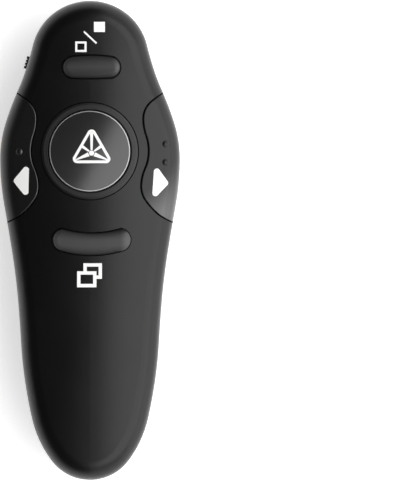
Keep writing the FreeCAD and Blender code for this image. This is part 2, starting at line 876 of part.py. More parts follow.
def make_front_shell():
    inner = -d.shell_wall
    skin = layer(0, inner).common(slab(d.part_height + d.parting_gap, d.body_height + d.overrun))
    lip = layer(d.lip_wall - d.shell_wall, inner)
    lip = lip.common(slab(d.part_height - d.lip_height, d.part_height + d.overrun))
    bosses = []
    for y in (d.tail_boss_y, d.platform_boss_y):
        bosses.append(post(d.case_boss_radius, 0, y, d.part_height + d.boss_gap, d.body_height))
    for x, y in board_screw_spots():
        bosses.append(post(d.board_boss_radius, x, y, board_top, d.body_height))
    shell = skin.fuse([lip] + [boss.common(form(inner / 2)) for boss in bosses])
    for y in (d.tail_boss_y, d.platform_boss_y):
        top = d.part_height + d.boss_gap + d.screw_bite + d.screw_head_gap
        shell = shell.cut(post(d.screw_radius + d.screw_pilot_gap, 0, y, d.part_height, top))
    for x, y in board_screw_spots():
        top = d.board_height + d.board_screw_length + d.screw_pilot_gap
        shell = shell.cut(post(d.board_screw_radius + d.screw_pilot_gap, x, y, d.board_height, top))
    high = d.body_height + d.overrun
    for wire in (blank_key_wire(d.key_gap), window_key_wire(d.key_gap), laser_key_wire(d.key_gap)):
        shell = shell.cut(prism(wire, d.part_height, high))
    seat = post(d.ring_outer_radius + d.ring_gap, 0, d.laser_key_y, d.part_height, high)
    shell = shell.cut(seat.cut(form(-d.ring_drop - d.ring_thickness)))
    page = page_region(d.page_seam_gap, d.part_height)
    return shell.cut(page).cut(mirrored(page))


def board_screw_spots():
    return (
        (0, d.board_nose_boss_y),
        (d.board_side_boss_x, d.board_side_boss_y),
        (-d.board_side_boss_x, d.board_side_boss_y),
    )


def make_ring():
    """The bezel round the laser key, let into the front shell."""
    high = d.body_height + d.overrun
    band = post(d.ring_outer_radius, 0, d.laser_key_y, d.part_height, high)
    band = band.cut(post(d.laser_key_radius + d.key_gap, 0, d.laser_key_y, d.part_height, high))
    ring = layer(-d.ring_drop, -d.ring_drop - d.ring_thickness).common(band)
    return ring.makeFillet(d.ring_edge_round, highest_face(ring).Edges)


# Front keys: hollow caps with a flange under the shell and a stem to their switch.


def make_press_key(wire, raised, edge_round, x, y):
    low = d.part_height
    high = d.body_height + raised + d.overrun
    flange_top = -(d.shell_wall + d.key_play)
    flange_foot = flange_top - d.key_flange
    cap = layer(raised, flange_foot).common(prism(wire(0), low, high))
    cap = cap.makeFillet(edge_round, highest_face(cap).Edges)
    flange = layer(flange_top, flange_foot).common(prism(wire(d.key_flange_reach), low, high))
    hollow = form(-d.key_skirt).common(prism(wire(-d.key_skirt), low, high))
    stem = post(d.stem_radius, x, y, stem_foot, high).common(form(-d.key_skirt / 2))
    return cap.fuse(flange).cut(hollow).fuse(stem)


def seam_edges(cap):
    """The edges along a page key's seam that lie on the handset's outside."""
    seam = Part.Wire(plan_arcs(PAGE_SEAM_SHARES))
    found = []
    for edge in cap.Edges:
        spots = [edge.valueAt(at) for at in (edge.FirstParameter, edge.LastParameter)]
        spots.append(edge.valueAt(sum(edge.ParameterRange) / 2))
        level = abs(edge.tangentAt(edge.FirstParameter).z) < LEVEL_SHARE
        if level and all(
            Part.Vertex(V(spot.x, spot.y, 0)).distToShape(seam)[0] < HAIR
            and Part.Vertex(spot).distToShape(form(0))[0] < HAIR
            for spot in spots
        ):
            found.append(edge)
    return found


def make_page_key():
    """The right page key, which wraps over the side."""
    low = d.part_height + d.page_foot_gap
    region = page_region(0, low)
    cap = layer(0, -d.page_key_wall).common(region)
    cap = cap.makeFillet(d.page_edge_round, seam_edges(cap))
    tab_top = -(d.shell_wall + d.key_play)
    tab_foot = tab_top - d.page_tab_thickness
    stem = post(d.stem_radius - d.key_gap, d.page_switch_x, d.page_switch_y, stem_foot, d.body_height)
    cap = cap.fuse(stem.common(form(-d.page_key_wall / 2)))
    for across, along in PAGE_TAB_SHARES:
        x = across * half_width + d.page_seam_gap
        y = along * half_length
        reach = block(x - d.page_tab_reach, x + d.page_tab_neck, y - d.page_tab_length / 2,
                      y + d.page_tab_length / 2, d.part_height, d.body_height)
        neck = block(x, x + d.page_tab_neck, y - d.page_tab_length / 2,
                     y + d.page_tab_length / 2, d.part_height, d.body_height)
        cap = cap.fuse(layer(tab_top, tab_foot).common(reach))
        cap = cap.fuse(layer(-d.page_key_wall / 2, tab_foot).common(neck).common(region))
    return cap


def bump(across, along):
    """A low dome on the crown at a share of the half width and half length."""
    ball_radius = (d.bump_radius**2 + d.bump_rise**2) / (2 * d.bump_rise)
    x = across * half_width
    forward = along * half_length - d.arch_peak_y
    reach = d.arch_radius - d.crown_radius + math.sqrt(d.crown_radius**2 - x * x)
    spoke = V(0, forward, math.sqrt(reach**2 - forward**2)).normalize()
    middle = arch_centre + spoke * (d.arch_radius - d.crown_radius)
    outward = (arch_centre + spoke * reach + V(x, 0, 0) - middle).normalize()
    return Part.makeSphere(ball_radius, middle + outward * (d.crown_radius - ball_radius + d.bump_rise))


def with_bumps(key, shares):
    solid = key
    for across, along in shares:
        dome = bump(across, along).cut(form(-d.page_key_wall / 2))
        solid = solid.fuse(dome)
    return solid


# Battery cover.


def make_battery_cover():
    cover = layer(0, -d.cover_wall).common(cover_region(-d.seam_gap, d.rim_height - d.seam_gap))
    slant = 1 / math.cos(math.radians(d.cover_off_angle))
    tab = tab_prism(0, -d.cover_wall * slant, d.tab_reach * slant)
    cover = cover.fuse(tab.common(form(-d.cover_wall / 2)))
    for side in (-1, 1):
        dot = post(d.grip_dot_radius, side * d.grip_dot_spacing / 2, d.grip_y, -d.overrun,
                   d.grip_dot_depth)
        cover = cover.cut(dot)
    arc = post(d.grip_arc_radius + d.grip_arc_width / 2, 0, d.grip_y, -d.overrun, d.grip_dot_depth)
    arc = arc.cut(post(d.grip_arc_radius - d.grip_arc_width / 2, 0, d.grip_y, -d.overrun,
                       d.grip_dot_depth))
    tailward = block(-half_width, half_width, -half_length, d.grip_y - d.grip_arc_radius / 2,
                     -d.overrun, d.grip_dot_depth)
    return cover.cut(arc.common(tailward))


# Main board and what is soldered to it.


def make_main_board():
    board = prism(outline(-d.board_inset), d.board_height, board_top)
    board = board.common(block(-half_width, half_width, d.board_tail_y, half_length,
                               d.board_height, board_top))
    holes = [post(d.case_boss_radius + d.board_hole_gap, 0, d.platform_boss_y, 0, d.body_height)]
    for x, y in board_screw_spots():
        holes.append(post(d.board_screw_radius + d.screw_hole_gap, x, y, 0, d.body_height))
    for hole in holes:
        board = board.cut(hole)
    return board


KEY_SWITCHES = {
    "laser": ("0", "laser_key_y"),
    "blank": ("blank_key_x", "blank_key_y"),
    "window": ("window_key_x", "window_key_y"),
    "page_back": ("-page_switch_x", "page_switch_y"),
    "page_forward": ("page_switch_x", "page_switch_y"),
}


def make_switch(name, x, y, foot, side):
    """A low push switch: a square base with a round hole, and its plunger.

    side is 1 on top of the board and -1 underneath.
    """
    base = doc.addObject("Part::Box", name + "_base")
    bind(base, Length="switch_width", Width="switch_width", Height="switch_rise")
    low = foot if side > 0 else f"{foot} - switch_rise"
    place(base, f"{x} - switch_width / 2", f"{y} - switch_width / 2", low)
    hole = doc.addObject("Part::Cylinder", name + "_hole")
    bind(hole, Radius="plunger_radius + plunger_gap", Height="switch_rise")
    place(hole, x, y, low)
    housing = doc.addObject("Part::Cut", name + "_switch")
    housing.Base = base
    housing.Tool = hole
    keep(housing, name + "_switch")
    plunger = doc.addObject("Part::Cylinder", name + "_plunger")
    bind(plunger, Radius="plunger_radius", Height="plunger_length")
    if side > 0:
        top = f"{foot} + switch_rise + plunger_stand - plunger_length"
    else:
        top = f"{foot} - switch_rise - plunger_stand"
    keep(place(plunger, x, y, top), name + "_plunger")


def make_box(name, length, width, height, x, y, z):
    """A plain box, centred on x and y."""
    box = doc.addObject("Part::Box", name)
    bind(box, Length=length, Width=width, Height=height)
    return keep(place(box, f"{x} - ({length}) / 2", f"{y} - ({width}) / 2", z), name)


# Battery contacts.


def spring_path(tail_y, head_y):
    """A conical coil about the cell's axis, as biarcs of a quarter turn."""
    quarters = round(4 * d.spring_turns)
    spots = []
    headings = []
    for i in range(quarters + 1):
        share = i / quarters
        angle = share * d.spring_turns * 2 * math.pi
        radius = d.spring_base_radius + (d.spring_tip_radius - d.spring_base_radius) * share
        narrowing = (d.spring_tip_radius - d.spring_base_radius) / (d.spring_turns * 2 * math.pi)
        advance = (head_y - tail_y) / (d.spring_turns * 2 * math.pi)
        out = V(math.cos(angle), 0, math.sin(angle))
        round_way = V(-math.sin(angle), 0, math.cos(angle))
        spots.append(V(0, tail_y + (head_y - tail_y) * share, cell_height) + out * radius)
        headings.append((round_way * radius + out * narrowing + Y_AXIS * advance).normalize())
    edges = []
    for i in range(quarters):
        edges += two_arcs(spots[i], headings[i], spots[i + 1], headings[i + 1])
    return Part.Wire(edges), headings[0]


def least_self_gap(wire):
    """The least clear distance between the wire's own turns."""
    points = wire.discretize(Number=round(d.spring_turns * POINTS_PER_TURN))
    half_turn = POINTS_PER_TURN // 2
    gaps = [
        points[i].distanceToPoint(points[j])
        for i in range(len(points))
        for j in range(i + half_turn, len(points))
    ]
    return min(gaps) - d.spring_wire


def make_spring(tail_y, head_y):
    path, heading = spring_path(tail_y, head_y)
    start = path.Edges[0].valueAt(path.Edges[0].FirstParameter)
    ring = Part.Wire(Part.makeCircle(d.spring_wire / 2, start, heading))
    print("battery spring, least gap to itself in mm:", round(least_self_gap(path), 2))
    return path.makePipeShell([ring], True, False)


# Receiver, stowed in the trough with its plug towards the tail.

receiver_head_y = d.bay_head_y - d.receiver_head_play
receiver_tail_y = receiver_head_y - d.receiver_body_length
receiver_height = d.trough_depth_height - d.receiver_rest_gap - d.receiver_body_thickness / 2


def make_receiver_housing():
    sunk = 2 * d.receiver_groove_depth
    core = rounded_bar(d.receiver_body_width - sunk, d.receiver_body_thickness - sunk,
                       d.receiver_edge_round - d.receiver_groove_depth, receiver_tail_y,
                       receiver_head_y, receiver_height)
    collar_y = receiver_tail_y + d.receiver_collar_length
    band_y = receiver_head_y - d.receiver_band_length
    spans = [(receiver_tail_y, collar_y), (band_y, receiver_head_y)]
    pitch = (band_y - collar_y) / (d.receiver_ribs + 1 - d.receiver_rib_share)
    for i in range(int(d.receiver_ribs)):
        start = collar_y + pitch * (i + 1 - d.receiver_rib_share)
        spans.append((start, start + pitch * d.receiver_rib_share))
    raised = [
        rounded_bar(d.receiver_body_width, d.receiver_body_thickness, d.receiver_edge_round,
                    low, high, receiver_height)
        for low, high in spans
    ]
    return core.fuse(raised)


def plug_face():
    """The height of the plug's open face, which is turned to the cover."""
    return receiver_height - d.plug_thickness / 2


def make_receiver_plug():
    tip_y = receiver_tail_y - d.plug_length
    plug = rounded_bar(d.plug_width, d.plug_thickness, d.plug_edge_round, tip_y, receiver_tail_y,
                       receiver_height)
    half = d.plug_width / 2 - d.plug_side_wall
    window = block(-half, half, tip_y + d.plug_tip_wall, tip_y + d.plug_tip_wall + d.plug_window_length,
                   plug_face() - d.overrun, plug_face() + d.plug_window_depth)
    return plug.cut(window)


def make_contact_board():
    tip_y = receiver_tail_y - d.plug_length + d.plug_tip_wall
    half = d.plug_width / 2 - d.plug_side_wall - d.contact_board_gap
    floor = plug_face() + d.plug_window_depth
    return block(-half, half, tip_y + d.contact_board_gap,
                 tip_y + d.plug_window_length - d.contact_board_gap,
                 floor - d.contact_board_thickness, floor)


def make_contacts():
    """Four flat contacts; the inner two start further from the tip."""
    tip_y = receiver_tail_y - d.plug_length + d.plug_tip_wall + d.contact_margin
    end_y = tip_y - d.contact_margin + d.plug_window_length - d.contact_margin
    top = plug_face() + d.plug_window_depth - d.contact_board_thickness
    strips = []
    for x, width, setback in (
        (d.contact_outer_x, d.contact_outer_width, 0),
        (d.contact_inner_x, d.contact_inner_width, d.contact_inner_setback),
    ):
        for side in (-1, 1):
            strips.append(block(side * x - width / 2, side * x + width / 2, tip_y + setback, end_y,
                                top - d.contact_thickness, top))
    return Part.makeCompound(strips)


# Fasteners.


def turned_screw(name, radius, head_radius, head_height, length):
    """A screw that points up, with its head's seat at zero, and a cross in its head."""
    screw = turned(name, "Z", (
        ("0", f"-{head_height}"),
        (head_radius, f"-{head_height}"),
        (head_radius, "0"),
        (radius, "0"),
        (radius, f"{length} - screw_tip"),
        ("0", length),
    ))
    doc.recompute()
    return screw


def slotted(shape, head_height, head_radius):
    reach = head_radius - d.screw_slot_width / 2
    half = d.screw_slot_width / 2
    depth = min(d.screw_slot_depth, head_height - half)
    for wide, long in ((half, reach), (reach, half)):
        shape = shape.cut(block(-wide, wide, -long, long, -head_height - d.overrun, depth - head_height))
    return shape


def placed_copies(shape, spots):
    return Part.makeCompound([shape.translated(V(*spot)) for spot in spots])


# The build.

shape_piece("rear_shell", make_rear_shell())
shape_piece("front_shell", make_front_shell())
shape_piece("battery_cover", make_battery_cover())
shape_piece("laser_key_ring", make_ring())
for name, wire, raised, rounding, x, y in (
    ("laser_key", laser_key_wire, d.laser_key_raise, d.key_edge_round, 0, d.laser_key_y),
    ("blank_key", blank_key_wire, d.blank_key_raise, d.lozenge_edge_round, d.blank_key_x,
     d.blank_key_y),
    ("window_key", window_key_wire, d.window_key_raise, d.lozenge_edge_round, d.window_key_x,
     d.window_key_y),
):
    shape_piece(name, make_press_key(wire, raised, rounding, x, y))
page_key = make_page_key()
shape_piece("page_forward_key", with_bumps(page_key, RIGHT_BUMP_SHARES))
shape_piece("page_back_key", with_bumps(mirrored(page_key), LEFT_BUMP_SHARES))

shape_piece("power_knob", make_power_knob())
shape_piece("power_switch", make_power_switch())
shape_piece("power_lever", make_power_lever())

shape_piece("main_board", make_main_board())
for switch, (across, along) in KEY_SWITCHES.items():
    make_switch(switch, across, along, "board_height + board_thickness", 1)
make_switch("pair", "0", "pair_key_y", "board_height", -1)
make_box("radio_chip", "chip_width", "chip_width", "chip_rise", "chip_x", "chip_y",
         "board_height - chip_rise")
make_box("crystal_can", "crystal_width", "crystal_length", "crystal_rise", "crystal_x", "crystal_y",
         "board_height - crystal_rise")

pair_top = "board_height - switch_rise - plunger_stand - plunger_gap"
turned_z("pair_key", (
    ("0", "pair_key_inset"),
    ("pair_key_radius", "pair_key_inset"),
    ("pair_key_radius", "shell_wall + pair_flange_gap"),
    ("pair_flange_radius", "shell_wall + pair_flange_gap"),
    ("pair_flange_radius", "shell_wall + pair_flange_gap + pair_key_cap"),
    ("pair_stem_radius", "shell_wall + pair_flange_gap + pair_key_cap"),
    ("pair_stem_radius", pair_top),
    ("0", pair_top),
), "0", "pair_key_y", "0")

nose = "body_length / 2"
face = "body_length / 2 - shell_wall - window_pad_depth - laser_window_gap"
window_back = f"{face} - laser_window_flange"
window = turned("laser_window", "Y", (
    (nose, "0"),
    (nose, "laser_window_radius"),
    (face, "laser_window_radius"),
    (face, "laser_window_flange_radius"),
    (window_back, "laser_window_flange_radius"),
    (window_back, "0"),
))
keep(place(window, z="laser_axis_height"), "laser_window")

muzzle = "body_length / 2 - shell_wall - window_pad_depth - laser_window_flange - laser_nose_gap"
step_y = f"{muzzle} - laser_barrel_head"
breech = f"{muzzle} - laser_barrel_length"
lens_back = f"{muzzle} - laser_lens_inset - laser_lens_thickness"
barrel = turned("laser_barrel", "Y", (
    (muzzle, "laser_lens_radius + saddle_gap"),
    (muzzle, "laser_barrel_radius"),
    (breech, "laser_barrel_radius"),
    (breech, "0"),
    (step_y, "0"),
    (step_y, "laser_lens_radius + saddle_gap"),
))
keep(place(barrel, z="laser_axis_height"), "laser_barrel")
lens = turned("laser_lens", "Y", (
    (lens_back, "0"),
    (f"{lens_back} + laser_lens_thickness", "0"),
    (f"{lens_back} + laser_lens_thickness * {LENS_EDGE_SHARE}", "laser_lens_radius"),
    (lens_back, "laser_lens_radius"),
))
keep(place(lens, z="laser_axis_height"), "laser_lens")
make_box("laser_driver_board", "laser_board_width", "laser_board_thickness", "laser_board_height",
         "0", f"{breech} - laser_board_thickness / 2 - saddle_gap",
         "laser_axis_height - laser_board_height / 2")

cell_axis = "trough_depth_height + bay_clearance + cell_radius"
cell_nose = "bay_head_y - contact_gap * 2 - contact_plate_thickness"
cell_tail = f"{cell_nose} - cell_length"
shoulder = f"{cell_nose} - cell_nub_length"
cell = turned("battery_cell", "Y", (
    (cell_tail, "0"),
    (cell_tail, "cell_radius - cell_edge_round"),
    (f"{cell_tail} + cell_edge_round", "cell_radius"),
    (f"{shoulder} - cell_edge_round", "cell_radius"),
    (shoulder, "cell_radius - cell_edge_round"),
    (shoulder, "cell_nub_radius"),
    (cell_nose, "cell_nub_radius"),
    (cell_nose, "0"),
))
keep(place(cell, z=cell_axis), "battery_cell")
plate_foot = f"{cell_axis} - contact_plate_rise / 2"
make_box("battery_positive_plate", "contact_plate_width", "contact_plate_thickness",
         "contact_plate_rise", "0", "bay_head_y - contact_gap - contact_plate_thickness / 2", plate_foot)
make_box("battery_negative_plate", "contact_plate_width", "contact_plate_thickness",
         "contact_plate_rise", "0", "bay_head_y - bay_length + contact_gap + contact_plate_thickness / 2",
         plate_foot)
spring_tail_y = bay_tail_y + d.contact_gap + d.contact_plate_thickness + d.spring_wire / 2
cell_tail_y = d.bay_head_y - 2 * d.contact_gap - d.contact_plate_thickness - d.cell_length
shape_piece("battery_spring", make_spring(spring_tail_y, cell_tail_y - d.plunger_gap - d.spring_wire / 2))

shape_piece("receiver_housing", make_receiver_housing())
shape_piece("receiver_plug", make_receiver_plug())
shape_piece("receiver_contact_board", make_contact_board())
shape_piece("receiver_contacts", make_contacts())

case_screw = turned_screw("case_screw", "screw_radius", "screw_head_radius", "screw_head_height",
                          "part_height + boss_gap + screw_bite - screw_seat_height")
case_spots = [(0, y, d.screw_seat_height) for y in (d.tail_boss_y, d.platform_boss_y)]
case_shape = slotted(case_screw.Shape, d.screw_head_height, d.screw_head_radius)
shape_piece("case_screws", placed_copies(case_shape, case_spots))
board_screw = turned_screw("board_screw", "board_screw_radius", "board_screw_head_radius",
                           "board_screw_head_height", "board_screw_length")
board_spots = [(x, y, d.board_height) for x, y in board_screw_spots()]
board_shape = slotted(board_screw.Shape, d.board_screw_head_height, d.board_screw_head_radius)
shape_piece("board_screws", placed_copies(board_shape, board_spots))

doc.recompute()


def check_document():
    """Stops the build if any object failed or any sub-part's shape is not sound."""
    for obj in doc.Objects:
        bad = [state for state in obj.State if state in ("Invalid", "Error")]
        if bad:
            raise RuntimeError(f"{obj.Name} is {bad[0]}")
    for name, obj in pieces.items():
        if obj.Shape.isNull() or not obj.Shape.isValid() or not obj.Shape.Solids:
            raise RuntimeError(f"{name} has no sound shape")


check_document()
os.makedirs("parts", exist_ok=True)
for name, obj in pieces.items():
    obj.Shape.exportStep(f"parts/{name}.step")
    print(name, len(obj.Shape.Solids), "solids", round(obj.Shape.Volume, 1), "mm3")
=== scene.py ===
import math

import bmesh
import bpy
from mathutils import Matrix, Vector
from mathutils.bvhtree import BVHTree


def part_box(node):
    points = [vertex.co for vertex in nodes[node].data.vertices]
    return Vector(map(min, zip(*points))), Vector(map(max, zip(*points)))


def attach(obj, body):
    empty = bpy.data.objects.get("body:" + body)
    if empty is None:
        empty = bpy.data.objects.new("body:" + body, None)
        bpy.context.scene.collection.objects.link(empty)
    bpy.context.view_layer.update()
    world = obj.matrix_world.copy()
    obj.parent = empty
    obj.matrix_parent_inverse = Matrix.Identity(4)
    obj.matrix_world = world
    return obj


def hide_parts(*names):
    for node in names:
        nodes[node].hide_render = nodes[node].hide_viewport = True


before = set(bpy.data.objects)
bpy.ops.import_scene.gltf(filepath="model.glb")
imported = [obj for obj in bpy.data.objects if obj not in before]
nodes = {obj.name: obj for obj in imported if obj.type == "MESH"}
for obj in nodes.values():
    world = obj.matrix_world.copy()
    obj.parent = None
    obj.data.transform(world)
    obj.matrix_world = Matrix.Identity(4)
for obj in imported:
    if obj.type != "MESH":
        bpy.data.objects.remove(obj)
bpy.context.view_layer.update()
scene = bpy.context.scene
scene.view_settings.view_transform = "Standard"

# View: straight down on the keys from three metres, where the handset stands at the
# left of the frame and is as tall as it.
pixels_high = 481
pixels_per_metre = 4200
camera_x = 0.02795
camera_height = 3.0
outline_height = 0.017
camera_data = bpy.data.cameras.new("camera")
camera = bpy.data.objects.new("camera", camera_data)
scene.collection.objects.link(camera)
scene.camera = camera
camera.location = (camera_x, 0.0, camera_height)
camera_data.lens = (camera_data.sensor_width * (camera_height - outline_height)
                    * pixels_per_metre / pixels_high)
camera_data.clip_end = 20.0

# Table: a wide white sheet under the handset. It is white to the eye, in reflections
# and through glass, it takes the handset's shadow, and from below it is clear.
table_half = 2.0
table_data = bpy.data.meshes.new("table")
table_data.from_pydata(
    [(-table_half, -table_half, 0), (table_half, -table_half, 0),
     (table_half, table_half, 0), (-table_half, table_half, 0)], [], [(0, 1, 2, 3)])
table = bpy.data.objects.new("table", table_data)
scene.collection.objects.link(table)


def add_nodes(tree, **kinds):
    """New shader nodes by name, from their kinds without the common prefix."""
    return {name: tree.nodes.new("ShaderNode" + kind) for name, kind in kinds.items()}


def figure(tree, operation, *values):
    """A sum in a shader: each value is a number or another node's output."""
    node = tree.nodes.new("ShaderNodeMath")
    node.operation = operation
    for socket, value in zip(node.inputs, values):
        if isinstance(value, (int, float)):
            socket.default_value = value
        else:
            tree.links.new(value, socket)
    return node.outputs[0]


def empty_tree(owner):
    owner.use_nodes = True
    owner.node_tree.nodes.clear()
    return owner.node_tree


table_glow = 0.6
table_white = (0.86, 0.86, 0.86, 1)
table_paint = bpy.data.materials.new("table_paint")
tree = empty_tree(table_paint)
part = add_nodes(tree, sheet="BsdfDiffuse", shine="Emission", lit="AddShader",
                 clear="BsdfTransparent", rays="LightPath", side="NewGeometry",
                 choice="MixShader", out="OutputMaterial")
part["sheet"].inputs["Color"].default_value = table_white
rays = part["rays"].outputs
seen = figure(tree, "MAXIMUM", rays["Is Camera Ray"], rays["Is Glossy Ray"])
seen = figure(tree, "MAXIMUM", seen, rays["Is Transmission Ray"])
passes = figure(tree, "MAXIMUM", part["side"].outputs["Backfacing"], rays["Is Shadow Ray"])
tree.links.new(figure(tree, "MULTIPLY", seen, table_glow), part["shine"].inputs["Strength"])
tree.links.new(part["sheet"].outputs[0], part["lit"].inputs[0])
tree.links.new(part["shine"].outputs[0], part["lit"].inputs[1])
tree.links.new(passes, part["choice"].inputs["Fac"])
tree.links.new(part["lit"].outputs[0], part["choice"].inputs[1])
tree.links.new(part["clear"].outputs[0], part["choice"].inputs[2])
tree.links.new(part["choice"].outputs[0], part["out"].inputs["Surface"])
table_data.materials.append(table_paint)

# Room: white to the eye and through glass. Reflections find it white at the horizon
# and dark overhead, as in a studio whose ceiling is black.
room_level = 0.15
horizon_level = 1.0
ceiling_level = 0.04
ceiling_start = 0.3
world = bpy.data.worlds.new("room")
scene.world = world
tree = empty_tree(world)
part = add_nodes(tree, glow="Background", rays="LightPath", level="MapRange",
                 way="TexCoord", split="SeparateXYZ", ceiling="MapRange", choice="Mix",
                 out="OutputWorld")
part["glow"].inputs["Color"].default_value = (1, 1, 1, 1)
part["level"].inputs["To Min"].default_value = room_level
part["ceiling"].inputs["From Max"].default_value = ceiling_start
part["ceiling"].inputs["To Min"].default_value = horizon_level
part["ceiling"].inputs["To Max"].default_value = ceiling_level
rays = part["rays"].outputs
seen = figure(tree, "MAXIMUM", rays["Is Camera Ray"], rays["Is Transmission Ray"])
tree.links.new(seen, part["level"].inputs["Value"])
tree.links.new(part["way"].outputs["Generated"], part["split"].inputs[0])
tree.links.new(part["split"].outputs["Z"], part["ceiling"].inputs["Value"])
tree.links.new(rays["Is Glossy Ray"], part["choice"].inputs["Factor"])
tree.links.new(part["level"].outputs["Result"], part["choice"].inputs["A"])
tree.links.new(part["ceiling"].outputs["Result"], part["choice"].inputs["B"])
tree.links.new(part["choice"].outputs["Result"], part["glow"].inputs["Strength"])
tree.links.new(part["glow"].outputs[0], part["out"].inputs["Surface"])


def lamp(name, spot, turn, size, watts):
    """A soft lamp of a width and a length, turned from facing straight down."""
    data = bpy.data.lights.new(name, "AREA")
    data.shape = "RECTANGLE"
    data.size, data.size_y = size
    data.energy = watts
    obj = bpy.data.objects.new(name, data)
    obj.location = spot
    obj.rotation_euler = [math.radians(angle) for angle in turn]
    obj.visible_camera = False
    scene.collection.objects.link(obj)


# Lamps: a large soft box hangs at the handset's lower right with its near edge almost
# overhead, so that the crown mirrors it from its middle on. Dimmer panels carry it on
# down to the table on its far sides, and a weak lamp lights the underside.
lamp("soft_box", (1.031, -0.125, 1.0), (0, 0, -8), (1.8, 1.8), 31.0)
lamp("side_panel", (1.91, -0.269, 0.58), (0, 90, -8), (1.1, 1.8), 13.0)
lamp("head_panel", (1.156, 0.766, 0.58), (-90, 0, -8), (1.8, 1.1), 7.5)
lamp("tail_panel", (0.906, -1.016, 0.58), (90, 0, -8), (1.8, 1.1), 7.5)
lamp("low_lamp", (0.3, -0.3, -0.9), (180, 0, 0), (1.2, 1.2), 6.0)

# Case: the front and rear halves are moulded black plastic under a soft-touch lacquer,
# which has a fine even grain and dulls the light. Screws from the underside hold them.
grain_strength = 0.6
slow_scale = 90
gloss_play = 0.05


def surface(name, colour, roughness, grain, relief, drift=0.1, shine=0.35, metal=0.0,
            stretch=(1, 1, 1)):
    """A material with a fine grain and slow changes of tone and gloss."""
    paint = bpy.data.materials.new(name)
    paint.use_nodes = True
    tree = paint.node_tree
    shader = tree.nodes["Principled BSDF"]
    shader.inputs["Specular IOR Level"].default_value = shine
    shader.inputs["Metallic"].default_value = metal
    part = add_nodes(tree, place="TexCoord", scale="Mapping", fine="TexNoise", bump="Bump",
                     slow="TexNoise", tone="Mix", gloss="MapRange")
    part["scale"].inputs["Scale"].default_value = stretch
    part["fine"].inputs["Scale"].default_value = 1 / grain
    part["fine"].inputs["Detail"].default_value = 3
    part["bump"].inputs["Strength"].default_value = grain_strength
    part["bump"].inputs["Distance"].default_value = relief
    part["slow"].inputs["Scale"].default_value = slow_scale
    part["slow"].inputs["Detail"].default_value = 4
    part["tone"].data_type = "RGBA"
    part["tone"].inputs["A"].default_value = (*[c * (1 - drift) for c in colour], 1)
    part["tone"].inputs["B"].default_value = (*[c * (1 + drift) for c in colour], 1)
    part["gloss"].inputs["To Min"].default_value = roughness - gloss_play
    part["gloss"].inputs["To Max"].default_value = roughness + gloss_play
    tree.links.new(part["place"].outputs["Object"], part["scale"].inputs["Vector"])
    for noise in ("fine", "slow"):
        tree.links.new(part["scale"].outputs["Vector"], part[noise].inputs["Vector"])
    tree.links.new(part["fine"].outputs["Fac"], part["bump"].inputs["Height"])
    tree.links.new(part["bump"].outputs["Normal"], shader.inputs["Normal"])
    tree.links.new(part["slow"].outputs["Fac"], part["tone"].inputs["Factor"])
    tree.links.new(part["slow"].outputs["Fac"], part["gloss"].inputs["Value"])
    tree.links.new(part["tone"].outputs["Result"], shader.inputs["Base Color"])
    tree.links.new(part["gloss"].outputs["Result"], shader.inputs["Roughness"])
    return paint


def dress(paint, *names):
    """Gives CAD nodes their finished material."""
    for name in names:
        mesh = nodes[name].data
        mesh.materials.clear()
        mesh.materials.append(paint)


lacquer_black = (0.0030, 0.0030, 0.0031)
dress(surface("case_black", lacquer_black, 0.31, 0.00018, 0.000005, shine=0.3),
      "front_shell", "rear_shell")

# Main board: green glass-fibre laminate with copper tracks under its lacquer. Push
# switches, a radio chip and its crystal are soldered on, and screws hold it.
track_wander = 0.35
track_edge = 0.05
track_fade = 0.08
track_rise = 0.00003


def board_material(name, mask, track, cell):
    """Lacquered laminate on which tracks show as raised lines between cells."""
    paint = surface(name, mask, 0.35, 0.0004, 0.000004, shine=0.5)
    tree = paint.node_tree
    part = add_nodes(tree, place="TexCoord", route="TexVoronoi", line="ValToRGB", mix="Mix",
                     raise_line="Bump")
    part["route"].feature = "DISTANCE_TO_EDGE"
    part["route"].inputs["Scale"].default_value = 1 / cell
    part["route"].inputs["Randomness"].default_value = track_wander
    part["line"].color_ramp.elements[0].color = (1, 1, 1, 1)
    part["line"].color_ramp.elements[1].color = (0, 0, 0, 1)
    part["line"].color_ramp.elements[0].position = track_edge
    part["line"].color_ramp.elements[1].position = track_fade
    part["mix"].data_type = "RGBA"
    part["mix"].inputs["B"].default_value = (*track, 1)
    part["raise_line"].inputs["Distance"].default_value = track_rise
    shader = tree.nodes["Principled BSDF"]
    below = shader.inputs["Base Color"].links[0].from_socket
    grain = shader.inputs["Normal"].links[0].from_socket
    tree.links.new(part["place"].outputs["Object"], part["route"].inputs["Vector"])
    tree.links.new(part["route"].outputs["Distance"], part["line"].inputs["Fac"])
    tree.links.new(part["line"].outputs["Color"], part["mix"].inputs["Factor"])
    tree.links.new(below, part["mix"].inputs["A"])
    tree.links.new(part["mix"].outputs["Result"], shader.inputs["Base Color"])
    tree.links.new(part["line"].outputs["Color"], part["raise_line"].inputs["Height"])
    tree.links.new(grain, part["raise_line"].inputs["Normal"])
    tree.links.new(part["raise_line"].outputs["Normal"], shader.inputs["Normal"])
    return paint


board_green = board_material("board_green", (0.010, 0.090, 0.035), (0.030, 0.170, 0.060), 0.0016)
dress(board_green, "main_board", "laser_driver_board")
switch_names = ("laser", "blank", "window", "page_back", "page_forward", "pair")
dress(surface("switch_black", (0.022, 0.022, 0.024), 0.5, 0.0002, 0.000008),
      *[name + "_switch" for name in switch_names])
dress(surface("plunger_nylon", (0.62, 0.60, 0.54), 0.5, 0.0003, 0.000006),
      *[name + "_plunger" for name in switch_names])
dress(surface("chip_epoxy", (0.015, 0.015, 0.016), 0.62, 0.00012, 0.00001), "radio_chip")
can_steel = surface("can_steel", (0.66, 0.66, 0.64), 0.3, 0.0002, 0.000004, metal=1.0)
dress(can_steel, "crystal_can", "power_switch")

